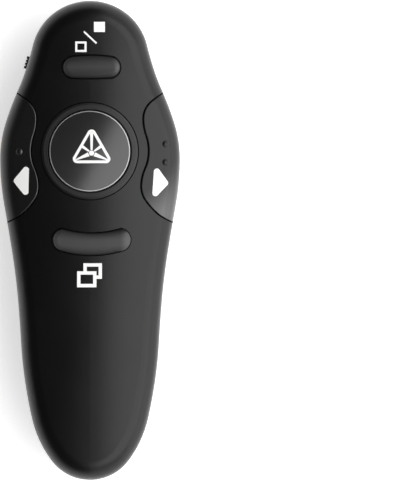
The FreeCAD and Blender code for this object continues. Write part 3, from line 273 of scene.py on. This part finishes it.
# Chip capacitors and resistors: the small blocks with tinned ends that fill the
# underside of such a board, each soldered on flat. Some of their places are left free.
chip_columns = (-0.0150, -0.0128, 0.0055, 0.0085, 0.0115)
chip_rows = [0.0125 + 0.0032 * i for i in range(5)]
chip_height = 0.0006
chip_chamfer = 0.00005


def growing(name, **inputs):
    """An empty geometry tree with named inputs, and its first and last nodes."""
    tree = bpy.data.node_groups.new(name, "GeometryNodeTree")
    for way in ("INPUT", "OUTPUT"):
        tree.interface.new_socket("Geometry", in_out=way, socket_type="NodeSocketGeometry")
    for label, kind in inputs.items():
        tree.interface.new_socket(label, in_out="INPUT", socket_type="NodeSocket" + kind)
    return tree, tree.nodes.new("NodeGroupInput").outputs, tree.nodes.new("NodeGroupOutput")


def grow(tree, kind, **values):
    """A geometry node: each value is a number, a material or another node's output."""
    node = tree.nodes.new("GeometryNode" + kind)
    for label, value in values.items():
        socket = node.inputs[label.replace("_", " ")]
        if isinstance(value, bpy.types.NodeSocket):
            tree.links.new(value, socket)
        else:
            socket.default_value = value
    return node.outputs[0]


def grown(tree, spots, edges, **values):
    """The plain mesh that a geometry tree makes from points and the edges between them."""
    seeds = bpy.data.meshes.new(tree.name)
    seeds.from_pydata(spots, edges, [])
    source = bpy.data.objects.new(tree.name, seeds)
    scene.collection.objects.link(source)
    growth = source.modifiers.new(tree.name, "NODES")
    growth.node_group = tree
    for item in tree.interface.items_tree:
        if item.name in values:
            growth[item.identifier] = values[item.name]
    graph = bpy.context.evaluated_depsgraph_get()
    made = bpy.data.meshes.new_from_object(source.evaluated_get(graph))
    bpy.data.objects.remove(source)
    return made


def chip_tree(body_paints, end_paint):
    """Sets a chip on most of the points: a body of one of two kinds between two ends."""
    tree, given, last = growing("chips", Length="Float", Width="Float", Height="Float",
                                End="Float", Share="Float", Seed="Int")

    def place(x, y, z):
        node = tree.nodes.new("ShaderNodeCombineXYZ")
        for socket, value in zip(node.inputs, (x, y, z)):
            if value:
                tree.links.new(value, socket)
        return node.outputs[0]

    def chance(share, seed):
        node = tree.nodes.new("FunctionNodeRandomValue")
        node.data_type = "BOOLEAN"
        tree.links.new(seed, node.inputs["Seed"])
        if share:
            tree.links.new(share, node.inputs["Probability"])
        return next(socket for socket in node.outputs if socket.enabled)

    def both(operation, first, second):
        node = tree.nodes.new("FunctionNodeBooleanMath")
        node.operation = operation
        tree.links.new(first, node.inputs[0])
        tree.links.new(second, node.inputs[1])
        return node.outputs[0]

    body_length = figure(tree, "SUBTRACT", given["Length"], figure(tree, "MULTIPLY", given["End"], 2))
    end_spot = figure(tree, "DIVIDE", figure(tree, "SUBTRACT", given["Length"], given["End"]), 2)
    body = grow(tree, "MeshCube", Size=place(given["Width"], body_length, given["Height"]))
    end = grow(tree, "MeshCube", Size=place(given["Width"], given["End"], given["Height"]))
    line = tree.nodes.new("GeometryNodeMeshLine")
    line.mode = "END_POINTS"
    line.inputs["Count"].default_value = 2
    tree.links.new(place(0, figure(tree, "MULTIPLY", end_spot, -1), 0), line.inputs["Start Location"])
    tree.links.new(place(0, end_spot, 0), line.inputs["Offset"])
    ends = grow(tree, "InstanceOnPoints", Points=line.outputs[0], Instance=end)
    kept = chance(given["Share"], given["Seed"])
    kind = chance(None, figure(tree, "ADD", given["Seed"], 1))
    join = tree.nodes.new("GeometryNodeJoinGeometry")
    for picked, block, paint in ((both("AND", kept, kind), body, body_paints[0]),
                                 (both("NIMPLY", kept, kind), body, body_paints[1]),
                                 (kept, ends, end_paint)):
        copies = grow(tree, "InstanceOnPoints", Points=given["Geometry"], Selection=picked,
                      Instance=block)
        solid = grow(tree, "RealizeInstances", Geometry=copies)
        tree.links.new(grow(tree, "SetMaterial", Geometry=solid, Material=paint), join.inputs[0])
    tree.links.new(join.outputs[0], last.inputs[0])
    return tree


def finish_piece(name, shape, body, *paints):
    """Turns a mesh under construction into a piece that rides on a body."""
    mesh = bpy.data.meshes.new(name)
    bmesh.ops.recalc_face_normals(shape, faces=shape.faces[:])
    shape.to_mesh(mesh)
    shape.free()
    for paint in paints:
        mesh.materials.append(paint)
    piece = bpy.data.objects.new(name, mesh)
    scene.collection.objects.link(piece)
    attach(piece, body)
    return piece


chip_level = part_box("main_board")[0][2] - chip_height / 2
chip_mesh = grown(
    chip_tree((surface("capacitor_tan", (0.36, 0.22, 0.12), 0.5, 0.0002, 0.000005),
               surface("resistor_black", (0.02, 0.02, 0.022), 0.4, 0.0002, 0.000005)),
              surface("solder_tin", (0.62, 0.62, 0.60), 0.35, 0.0003, 0.00001, metal=1.0)),
    [(x, y, chip_level) for x in chip_columns for y in chip_rows], [],
    Length=0.0016, Width=0.0008, Height=chip_height, End=0.0003, Share=0.75, Seed=4)
chips = bmesh.new()
chips.from_mesh(chip_mesh)
bmesh.ops.bevel(chips, geom=chips.edges[:], offset=chip_chamfer, segments=1, affect="EDGES")
finish_piece("board_chips", chips, "handset", *chip_mesh.materials)

# Laser module: a nickel-plated brass barrel with a small acrylic lens in its mouth. It
# lies in two saddles behind a red window, and its driver board stands at its tail.
dress(surface("barrel_nickel", (0.62, 0.58, 0.50), 0.28, 0.0004, 0.000001, metal=1.0,
              stretch=(1, 12, 1)), "laser_barrel")
clear_share = 0.95


def clear_material(name, colour, roughness):
    """Tinted acrylic that most of the light passes through."""
    paint = surface(name, colour, roughness, 0.0006, 0.000001, drift=0.03, shine=0.5)
    paint.node_tree.nodes["Principled BSDF"].inputs["Transmission Weight"].default_value = clear_share
    return paint


dress(clear_material("lens_acrylic", (0.95, 0.96, 0.97), 0.06), "laser_lens")
dress(clear_material("window_red", (0.34, 0.012, 0.014), 0.08), "laser_window")

# Laser pins: two square tinned pins, bent to a right angle, are soldered to the back of
# the driver board and to the underside of the main board, and carry the supply.
mm_per_metre = 1000
pin_reach = 0.00035
pin_x = 0.0010
pin_path = [(40.45, 16.4), (39.30, 16.4), (38.92, 16.48), (38.68, 16.72), (38.60, 17.1),
            (38.60, 20.90)]


def pin_tree():
    """Sweeps a flat-sided wire along the edges and closes its ends."""
    tree, given, last = growing("pin", Reach="Float", Sides="Int", Paint="Material")
    path = grow(tree, "MeshToCurve", Mesh=given["Geometry"])
    ring = grow(tree, "CurvePrimitiveCircle", Radius=given["Reach"], Resolution=given["Sides"])
    wire = grow(tree, "CurveToMesh", Curve=path, Profile_Curve=ring, Fill_Caps=True)
    solid = grow(tree, "RealizeInstances", Geometry=wire)
    tree.links.new(grow(tree, "SetMaterial", Geometry=solid, Material=given["Paint"]), last.inputs[0])
    return tree


pin_tin = surface("pin_tin", (0.66, 0.64, 0.58), 0.3, 0.0003, 0.000002, metal=1.0)
for name, side in (("left", -1), ("right", 1)):
    spots = [(side * pin_x, y / mm_per_metre, z / mm_per_metre) for y, z in pin_path]
    pin_mesh = grown(pin_tree(), spots, [(i, i + 1) for i in range(len(spots) - 1)],
                     Reach=pin_reach, Sides=4, Paint=pin_tin)
    pin = bmesh.new()
    pin.from_mesh(pin_mesh)
    finish_piece("laser_pin_" + name, pin, "handset", pin_tin)

# Cell contacts: two nickel-plated steel plates stand in the ends of the bay. The one
# at the tail carries a conical spring that presses on the cell.
contact_nickel = surface("contact_nickel", (0.70, 0.68, 0.63), 0.25, 0.0005, 0.000004,
                         metal=1.0, stretch=(1, 1, 8))
dress(contact_nickel, "battery_positive_plate", "battery_negative_plate", "battery_spring")

# Cell: one AAA cell lies in the bay. A printed sleeve is shrunk over its steel can and
# grips the rims, and a raised nub marks the positive end.
cell_low, cell_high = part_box("battery_cell")
cell_length = cell_high[1] - cell_low[1]
cell_radius = (cell_high[0] - cell_low[0]) / 2
cell_axis = Vector((0, cell_low[1], (cell_low[2] + cell_high[2]) / 2))
nub_length = 0.0008
nub_radius = 0.0019
sleeve_film = 0.0002
shoulder = cell_length - nub_length


def lathe(name, profile, body, paint, closed=False, sides=72):
    """A surface turned about the cell's axis from places along it and radii."""
    shape = bmesh.new()
    rings = []
    for along, radius in profile:
        count = sides if radius else 1
        turns = [2 * math.pi * i / sides for i in range(count)]
        rings.append([
            shape.verts.new(cell_axis + Vector((radius * math.cos(t), along, radius * math.sin(t))))
            for t in turns])
    pairs = list(zip(rings, rings[1:]))
    if closed:
        pairs.append((rings[-1], rings[0]))
    for first, second in pairs:
        for i in range(sides):
            ends = (first[i % len(first)], first[(i + 1) % len(first)],
                    second[(i + 1) % len(second)], second[i % len(second)])
            shape.faces.new(list(dict.fromkeys(ends)))
    for face in shape.faces:
        face.smooth = True
    return finish_piece(name, shape, body, paint)


# The can, as places along it from the tail end and radii: a dished base with a rim, the
# long wall, the crimped shoulder and the nub.
can_radius = cell_radius - sleeve_film
can = lathe("cell_can", (
    (0.00030, 0), (0.00030, 0.62 * can_radius), (0.00005, 0.68 * can_radius),
    (0.00005, 0.80 * can_radius), (0.00045, can_radius), (shoulder - 0.00055, can_radius),
    (shoulder - 0.00015, 0.93 * can_radius), (shoulder - 0.00015, 0.80 * can_radius),
    (shoulder - 0.00050, 0.74 * can_radius), (shoulder - 0.00050, 0.48 * can_radius),
    (shoulder - 0.00020, nub_radius), (cell_length - 0.00020, nub_radius),
    (cell_length, nub_radius - 0.00020), (cell_length, 0)), "cell", can_steel)
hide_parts("battery_cell")


line_start = 0.74
silver_start = 0.77


def sleeve_material():
    """Printed film: a dark blue field, a pale line and a silver end."""
    paint = surface("cell_sleeve", (0.5, 0.5, 0.5), 0.28, 0.0006, 0.000003, shine=0.5)
    tree = paint.node_tree
    part = add_nodes(tree, place="TexCoord", split="SeparateXYZ", along="MapRange",
                     band="ValToRGB")
    part["along"].inputs["From Min"].default_value = cell_low[1]
    part["along"].inputs["From Max"].default_value = cell_high[1]
    ramp = part["band"].color_ramp
    ramp.interpolation = "CONSTANT"
    ramp.elements[0].color = (0.010, 0.035, 0.16, 1)
    ramp.elements[1].position = line_start
    ramp.elements[1].color = (0.72, 0.74, 0.76, 1)
    silver = ramp.elements.new(silver_start)
    silver.color = (0.30, 0.31, 0.33, 1)
    tree.links.new(part["place"].outputs["Object"], part["split"].inputs[0])
    tree.links.new(part["split"].outputs["Y"], part["along"].inputs["Value"])
    tree.links.new(part["along"].outputs["Result"], part["band"].inputs["Fac"])
    tree.links.new(part["band"].outputs["Color"],
                   tree.nodes["Principled BSDF"].inputs["Base Color"])
    return paint


# The sleeve, as places along it and radii: out over both rims and back along the can.
lathe("cell_sleeve", (
    (0.0, 0.84 * cell_radius), (0.00012, 0.95 * cell_radius), (0.00045, cell_radius),
    (shoulder - 0.00045, cell_radius), (shoulder - 0.0001, 0.95 * cell_radius),
    (shoulder, 0.86 * cell_radius), (shoulder - 0.00012, 0.86 * cell_radius),
    (shoulder - 0.0005, cell_radius - sleeve_film), (0.0005, cell_radius - sleeve_film),
    (0.00015, 0.84 * cell_radius)), "cell", sleeve_material(), closed=True)

# Receiver: its housing is glossy black plastic with cross ribs for grip. The folded
# plug is black-plated steel and holds a white board with four gold-plated contacts.
dress(surface("receiver_black", (0.016, 0.016, 0.017), 0.24, 0.0005, 0.000003, shine=0.5),
      "receiver_housing")
dress(surface("plug_black", (0.055, 0.055, 0.056), 0.3, 0.0004, 0.000003, metal=0.8,
              stretch=(10, 1, 1)), "receiver_plug")
dress(surface("board_white", (0.80, 0.80, 0.78), 0.45, 0.0004, 0.000003, drift=0.03),
      "receiver_contact_board")
dress(surface("contact_gold", (0.90, 0.72, 0.53), 0.3, 0.0005, 0.000003, metal=0.7,
              stretch=(8, 1, 1)), "receiver_contacts")

# Battery cover: the same lacquered plastic as the case, from a mould of its own, with
# a hooked tab at its head end. It lies flush in the rear half.
dress(surface("cover_black", lacquer_black, 0.33, 0.00018, 0.000005, shine=0.3),
      "battery_cover")

# Laser key: a round satin disc, slightly domed, in a bezel ring let into the front
# half. A white mark of a triangle with rays is printed on it.


def axes(tree):
    """The X, Y and Z of a place on the object."""
    part = add_nodes(tree, place="TexCoord", split="SeparateXYZ")
    tree.links.new(part["place"].outputs["Object"], part["split"].inputs[0])
    return part["split"].outputs


def slanted(tree, middle):
    """How far a place lies towards the lower right of a point on the middle line."""
    spot = axes(tree)
    off = figure(tree, "SUBTRACT", spot["X"], figure(tree, "SUBTRACT", spot["Y"], middle))
    return figure(tree, "MULTIPLY", off, math.sqrt(0.5))


def bowed(paint, middle, radius):
    """Bends the light as a slight bow does that falls to the lower right."""
    tree = paint.node_tree
    shader = tree.nodes["Principled BSDF"]
    grain = shader.inputs["Normal"].links[0].from_socket
    off = slanted(tree, middle)
    fall = figure(tree, "MULTIPLY", figure(tree, "MULTIPLY", off, off), -1 / (2 * radius))
    bend = tree.nodes.new("ShaderNodeBump")
    bend.inputs["Distance"].default_value = 1.0
    tree.links.new(fall, bend.inputs["Height"])
    tree.links.new(grain, bend.inputs["Normal"])
    tree.links.new(bend.outputs["Normal"], shader.inputs["Normal"])
    return paint


def blend_colour(paint, share, colour, kind="MIX"):
    """Works a second colour into a material where share is high."""
    tree = paint.node_tree
    shader = tree.nodes["Principled BSDF"]
    below = shader.inputs["Base Color"].links[0].from_socket
    mix = tree.nodes.new("ShaderNodeMix")
    mix.data_type = "RGBA"
    mix.blend_type = kind
    mix.inputs["B"].default_value = (*colour, 1)
    tree.links.new(share, mix.inputs["Factor"])
    tree.links.new(below, mix.inputs["A"])
    tree.links.new(mix.outputs["Result"], shader.inputs["Base Color"])
    return paint


def raise_sheen(paint, share, shine):
    """Paints a sheen: raises the shine of a material where share is high."""
    tree = paint.node_tree
    specular = tree.nodes["Principled BSDF"].inputs["Specular IOR Level"]
    gloss = tree.nodes.new("ShaderNodeMapRange")
    gloss.inputs["To Min"].default_value = specular.default_value
    gloss.inputs["To Max"].default_value = shine
    tree.links.new(share, gloss.inputs["Value"])
    tree.links.new(gloss.outputs["Result"], specular)
    return paint


def reach(tree, middle):
    """How far a place lies from a point on the middle line."""
    spot = axes(tree)
    across = spot["X"]
    along = figure(tree, "SUBTRACT", spot["Y"], middle)
    squares = figure(tree, "ADD", figure(tree, "MULTIPLY", across, across),
                     figure(tree, "MULTIPLY", along, along))
    return figure(tree, "SQRT", squares)


def edge_highlight_line(paint, middle, radius, half, colour, shine):
    """A painted highlight: a pale, shinier line painted where a round edge would catch the light."""
    line = figure(paint.node_tree, "COMPARE", reach(paint.node_tree, middle), radius, half)
    return blend_colour(raise_sheen(paint, line, shine), line, colour)


laser_key_y = 0.0212
ring_shade_start = 0.01095
disc_bow = 0.035
disc_edge_radius = 0.00945
disc_edge_half = 0.0001
ring_black = surface("ring_black", (0.026, 0.026, 0.026), 0.32, 0.00025, 0.000004, shine=0.2)
disc_black = surface("disc_black", (0.018, 0.018, 0.018), 0.30, 0.00025, 0.000004, shine=0.6)
# The ring's outer band is painted darker and given more shine: painted shade with a painted
# highlight.
ring_tree = ring_black.node_tree
ring_shade_band = figure(ring_tree, "GREATER_THAN", reach(ring_tree, laser_key_y),
                    ring_shade_start)
blend_colour(raise_sheen(ring_black, ring_shade_band, 0.4), ring_shade_band, (0.005, 0.005, 0.005))
dress(ring_black, "laser_key_ring")
# The disc carries a painted highlight: a pale line of colour and shine near its rim.
dress(edge_highlight_line(bowed(disc_black, laser_key_y, disc_bow), laser_key_y, disc_edge_radius,
                disc_edge_half, (0.36, 0.36, 0.36), 1.0), "laser_key")


def rounded(corners, radius, steps=7):
    """A closed outline with its corners rounded, in millimetres."""
    made = []
    for i, spot in enumerate(corners):
        here = Vector(spot)
        back = (Vector(corners[i - 1]) - here).normalized()
        on = (Vector(corners[(i + 1) % len(corners)]) - here).normalized()
        half = back.angle(on) / 2
        start = here + back * (radius / math.tan(half))
        end = here + on * (radius / math.tan(half))
        centre = here + (back + on).normalized() * (radius / math.sin(half))
        for step in range(steps + 1):
            spoke = (start - centre).lerp(end - centre, step / steps)
            made.append(centre + spoke.normalized() * radius)
    return made


def circle(x, y, radius, steps=40):
    """A closed round outline."""
    turns = [2 * math.pi * i / steps for i in range(steps)]
    return [(x + radius * math.cos(t), y + radius * math.sin(t)) for t in turns]


ink_gap = 0.00002
ink_film = 0.00003
ink_step = 0.0006
ink_rounds = 8
clear_of_part = 0.1


def printed(name, node, body, outlines, paint, below=False):
    """Ink on a node: outlines in millimetres, with holes where one lies in another."""
    curve = bpy.data.curves.new(name, "CURVE")
    curve.dimensions = "2D"
    curve.fill_mode = "BOTH"
    for outline in outlines:
        spline = curve.splines.new("POLY")
        spline.points.add(len(outline) - 1)
        for point, (x, y) in zip(spline.points, outline):
            point.co = (x / mm_per_metre, y / mm_per_metre, 0, 1)
        spline.use_cyclic_u = True
    flat = bpy.data.objects.new(name + "_flat", curve)
    sheet = bpy.data.meshes.new_from_object(flat)
    bpy.data.objects.remove(flat)
    ink = bmesh.new()
    ink.from_mesh(sheet)
    for _ in range(ink_rounds):
        long_edges = [edge for edge in ink.edges if edge.calc_length() > ink_step]
        if not long_edges:
            break
        bmesh.ops.subdivide_edges(ink, edges=long_edges, cuts=1)
        bmesh.ops.triangulate(ink, faces=ink.faces[:])
    skin = BVHTree.FromObject(nodes[node], bpy.context.evaluated_depsgraph_get())
    way = -1 if below else 1
    for vertex in ink.verts:
        start = Vector((vertex.co.x, vertex.co.y, way * clear_of_part))
        vertex.co = skin.ray_cast(start, Vector((0, 0, -way)))[0] + Vector((0, 0, way * ink_gap))
    film = bmesh.ops.extrude_face_region(ink, geom=ink.faces[:])
    for item in film["geom"]:
        if isinstance(item, bmesh.types.BMVert):
            item.co.z += way * ink_film
    return finish_piece(name, ink, body, paint)


def strip(start, end, near_width, far_width):
    """A straight stroke that may widen on its way."""
    here, there = Vector(start), Vector(end)
    way = (there - here).normalized()
    across = Vector((-way.y, way.x))
    return [here + across * near_width / 2, there + across * far_width / 2,
            there - across * far_width / 2, here - across * near_width / 2]


white_ink = surface("white_ink", (0.86, 0.86, 0.85), 0.5, 0.0001, 0.000002, drift=0.03,
                    shine=0.1)
hub = (0.45, 20.75)
hub_radius = 0.62
ray_gap = 0.12
frame_share = 0.783
mark_middle = Vector((0.45, 21.35))
mark_corners = [Vector((0.45, 27.35)), Vector((5.65, 18.35)), Vector((-4.75, 18.35))]
mark_inside = [mark_middle + (corner - mark_middle) * frame_share for corner in mark_corners]
printed("laser_mark_frame", "laser_key", "laser_button", [
    rounded(mark_corners, 1.0), rounded(mark_inside, 0.4), circle(*hub, hub_radius)], white_ink)
for i, (end, near_width, far_width) in enumerate((
        ((0.45, 25.8), 0.5, 0.75), ((4.1, 19.2), 1.0, 0.3), ((-3.2, 19.2), 1.0, 0.3),
        ((2.75, 22.4), 0.4, 0.7), ((-1.85, 22.4), 0.4, 0.7))):
    away = (Vector(end) - Vector(hub)).normalized() * (hub_radius + ray_gap)
    printed(f"laser_mark_ray_{i}", "laser_key", "laser_button",
            [strip(Vector(hub) + away, end, near_width, far_width)], white_ink)

# Lozenge keys: matte caps with pillowed edges, which stand proud of the front half.
# Each has a white mark printed beside it on the case.
# Painted shade darkens each key's long edges, and a painted glint of more shine lies at its ends.
end_start = 0.65
end_full = 0.85
end_glint = 0.4
rim_shade = (0.12, 0.12, 0.12)


def shade_pillow(paint, node, bow, flat):
    """Paints shade on a key, darker from its flat share out to its long edges, which may bow, and a
    painted glint of more shine at its ends.
    """
    low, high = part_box(node)
    tree = paint.node_tree
    spot = axes(tree)
    half_width = (high[1] - low[1] - abs(bow)) / 2
    across = figure(tree, "SUBTRACT", spot["X"], (low[0] + high[0]) / 2)
    across = figure(tree, "DIVIDE", across, (high[0] - low[0]) / 2)
    sag = figure(tree, "MULTIPLY", figure(tree, "MULTIPLY", across, across), -bow)
    off = figure(tree, "SUBTRACT", spot["Y"], (low[1] + high[1] + bow) / 2)
    off = figure(tree, "ABSOLUTE", figure(tree, "SUBTRACT", off, sag))
    fade = tree.nodes.new("ShaderNodeMapRange")
    fade.inputs["From Min"].default_value = flat * half_width
    fade.inputs["From Max"].default_value = half_width
    tree.links.new(off, fade.inputs["Value"])
    end = tree.nodes.new("ShaderNodeMapRange")
    end.interpolation_type = "SMOOTHSTEP"
    end.inputs["From Min"].default_value = end_start
    end.inputs["From Max"].default_value = end_full
    tree.links.new(figure(tree, "ABSOLUTE", across), end.inputs["Value"])
    raise_sheen(paint, end.outputs["Result"], end_glint)
    return blend_colour(paint, fade.outputs["Result"], rim_shade, "MULTIPLY")


for name, bow, flat, tone, shine in (
        ("blank_key", 0.0, 0.0, 0.044, 0.12), ("window_key", -0.001, 0.2, 0.060, 0.02)):
    paint = surface(name + "_black", (tone, tone, tone), 0.36, 0.00025, 0.000004, shine=shine)
    dress(shade_pillow(paint, name, bow, flat), name)


def square(x_low, x_high, y_low, y_high):
    """A closed outline with four right corners."""
    return [(x_low, y_low), (x_high, y_low), (x_high, y_high), (x_low, y_high)]


printed("blank_mark", "front_shell", "handset", [
    square(1.0, 3.6, 49.5, 51.9), strip((-1.4, 49.6), (1.6, 46.8), 0.4, 0.4),
    square(-3.45, -0.75, 44.75, 47.25), square(-2.95, -1.25, 45.25, 46.75)], white_ink)
printed("window_mark_front", "front_shell", "handset", [
    square(-3.0, 1.6, -11.1, -7.3), square(-2.2, 0.8, -10.3, -8.1)], white_ink)
printed("window_mark_back", "front_shell", "handset", [
    [(-1.5, -7.3), (-1.5, -5.4), (2.9, -5.4), (2.9, -9.1), (1.6, -9.1), (1.6, -8.3),
     (2.1, -8.3), (2.1, -6.2), (-0.7, -6.2), (-0.7, -7.3)]], white_ink)

# Page keys: smoother, glossier plastic than the case, which wraps over its sides. Each
# has a white arrow printed on it, and raised dots tell them apart by touch. A painted
# sheen of more shine lies on the faces of the left one that lean towards the lamps at
# the right, along its inner edge, and on the lower right of the right one.
page_shine = 0.28
sheen_top = 1.0


def page_sheen(node, low, high, lay):
    """The page keys' plastic, with a painted sheen: more shine where a measure of the place rises
    past low.
    """
    paint = surface(node + "_black", (0.008, 0.008, 0.008), 0.3, 0.0003, 0.000003,
                    shine=page_shine)
    tree = paint.node_tree
    sheen_share = tree.nodes.new("ShaderNodeMapRange")
    sheen_share.interpolation_type = "SMOOTHSTEP"
    sheen_share.inputs["From Min"].default_value = low
    sheen_share.inputs["From Max"].default_value = high
    tree.links.new(lay(tree), sheen_share.inputs["Value"])
    dress(raise_sheen(paint, sheen_share.outputs["Result"], sheen_top), node)


def leaning(tree):
    """How far a face leans towards the right."""
    part = add_nodes(tree, place="TexCoord", split="SeparateXYZ")
    tree.links.new(part["place"].outputs["Normal"], part["split"].inputs[0])
    return part["split"].outputs["X"]


page_sheen("page_back_key", 0.10, 0.45, leaning)
page_sheen("page_forward_key", 0.0155, 0.0245, lambda tree: slanted(tree, laser_key_y))
printed("page_back_arrow", "page_back_key", "page_back_button",
        [rounded([(-18.3, 14.15), (-14.4, 18.8), (-14.6, 9.6)], 0.7)], white_ink)
printed("page_forward_arrow", "page_forward_key", "page_forward_button",
        [rounded([(18.8, 13.6), (15.35, 18.4), (14.75, 9.3)], 0.7)], white_ink)

# Power slide: a grooved satin knob in a slot in the left side, which moves the lever
# of the switch under the board. Plain marks for off and on are printed under the slot.
dress(surface("knob_grey", (0.060, 0.060, 0.062), 0.42, 0.0002, 0.000006), "power_knob")
dress(surface("lever_nylon", (0.05, 0.05, 0.052), 0.5, 0.0003, 0.000006), "power_lever")
grey_ink = surface("grey_ink", (0.60, 0.60, 0.60), 0.5, 0.0001, 0.000002, drift=0.03)
printed("power_mark_on", "rear_shell", "handset",
        [strip((-11.6, 47.6), (-10.2, 47.2), 0.4, 0.4)], grey_ink, below=True)
printed("power_mark_off", "rear_shell", "handset",
        [circle(-11.9, 42.0, 0.85), circle(-11.9, 42.0, 0.5)], grey_ink, below=True)

# Pairing key: a small round cap of ribbed grey plastic, set a little below the
# underside so that it isn't pressed by the table.
dress(surface("pair_grey", (0.085, 0.085, 0.088), 0.4, 0.0006, 0.00004, stretch=(1, 0.05, 1)),
      "pair_key")

# Screws: zinc-plated steel with crossed slots. Two hold the halves of the case
# together and three hold the board to the front half.
dress(surface("screw_zinc", (0.55, 0.56, 0.58), 0.33, 0.0003, 0.000006, metal=1.0),
      "case_screws", "board_screws")
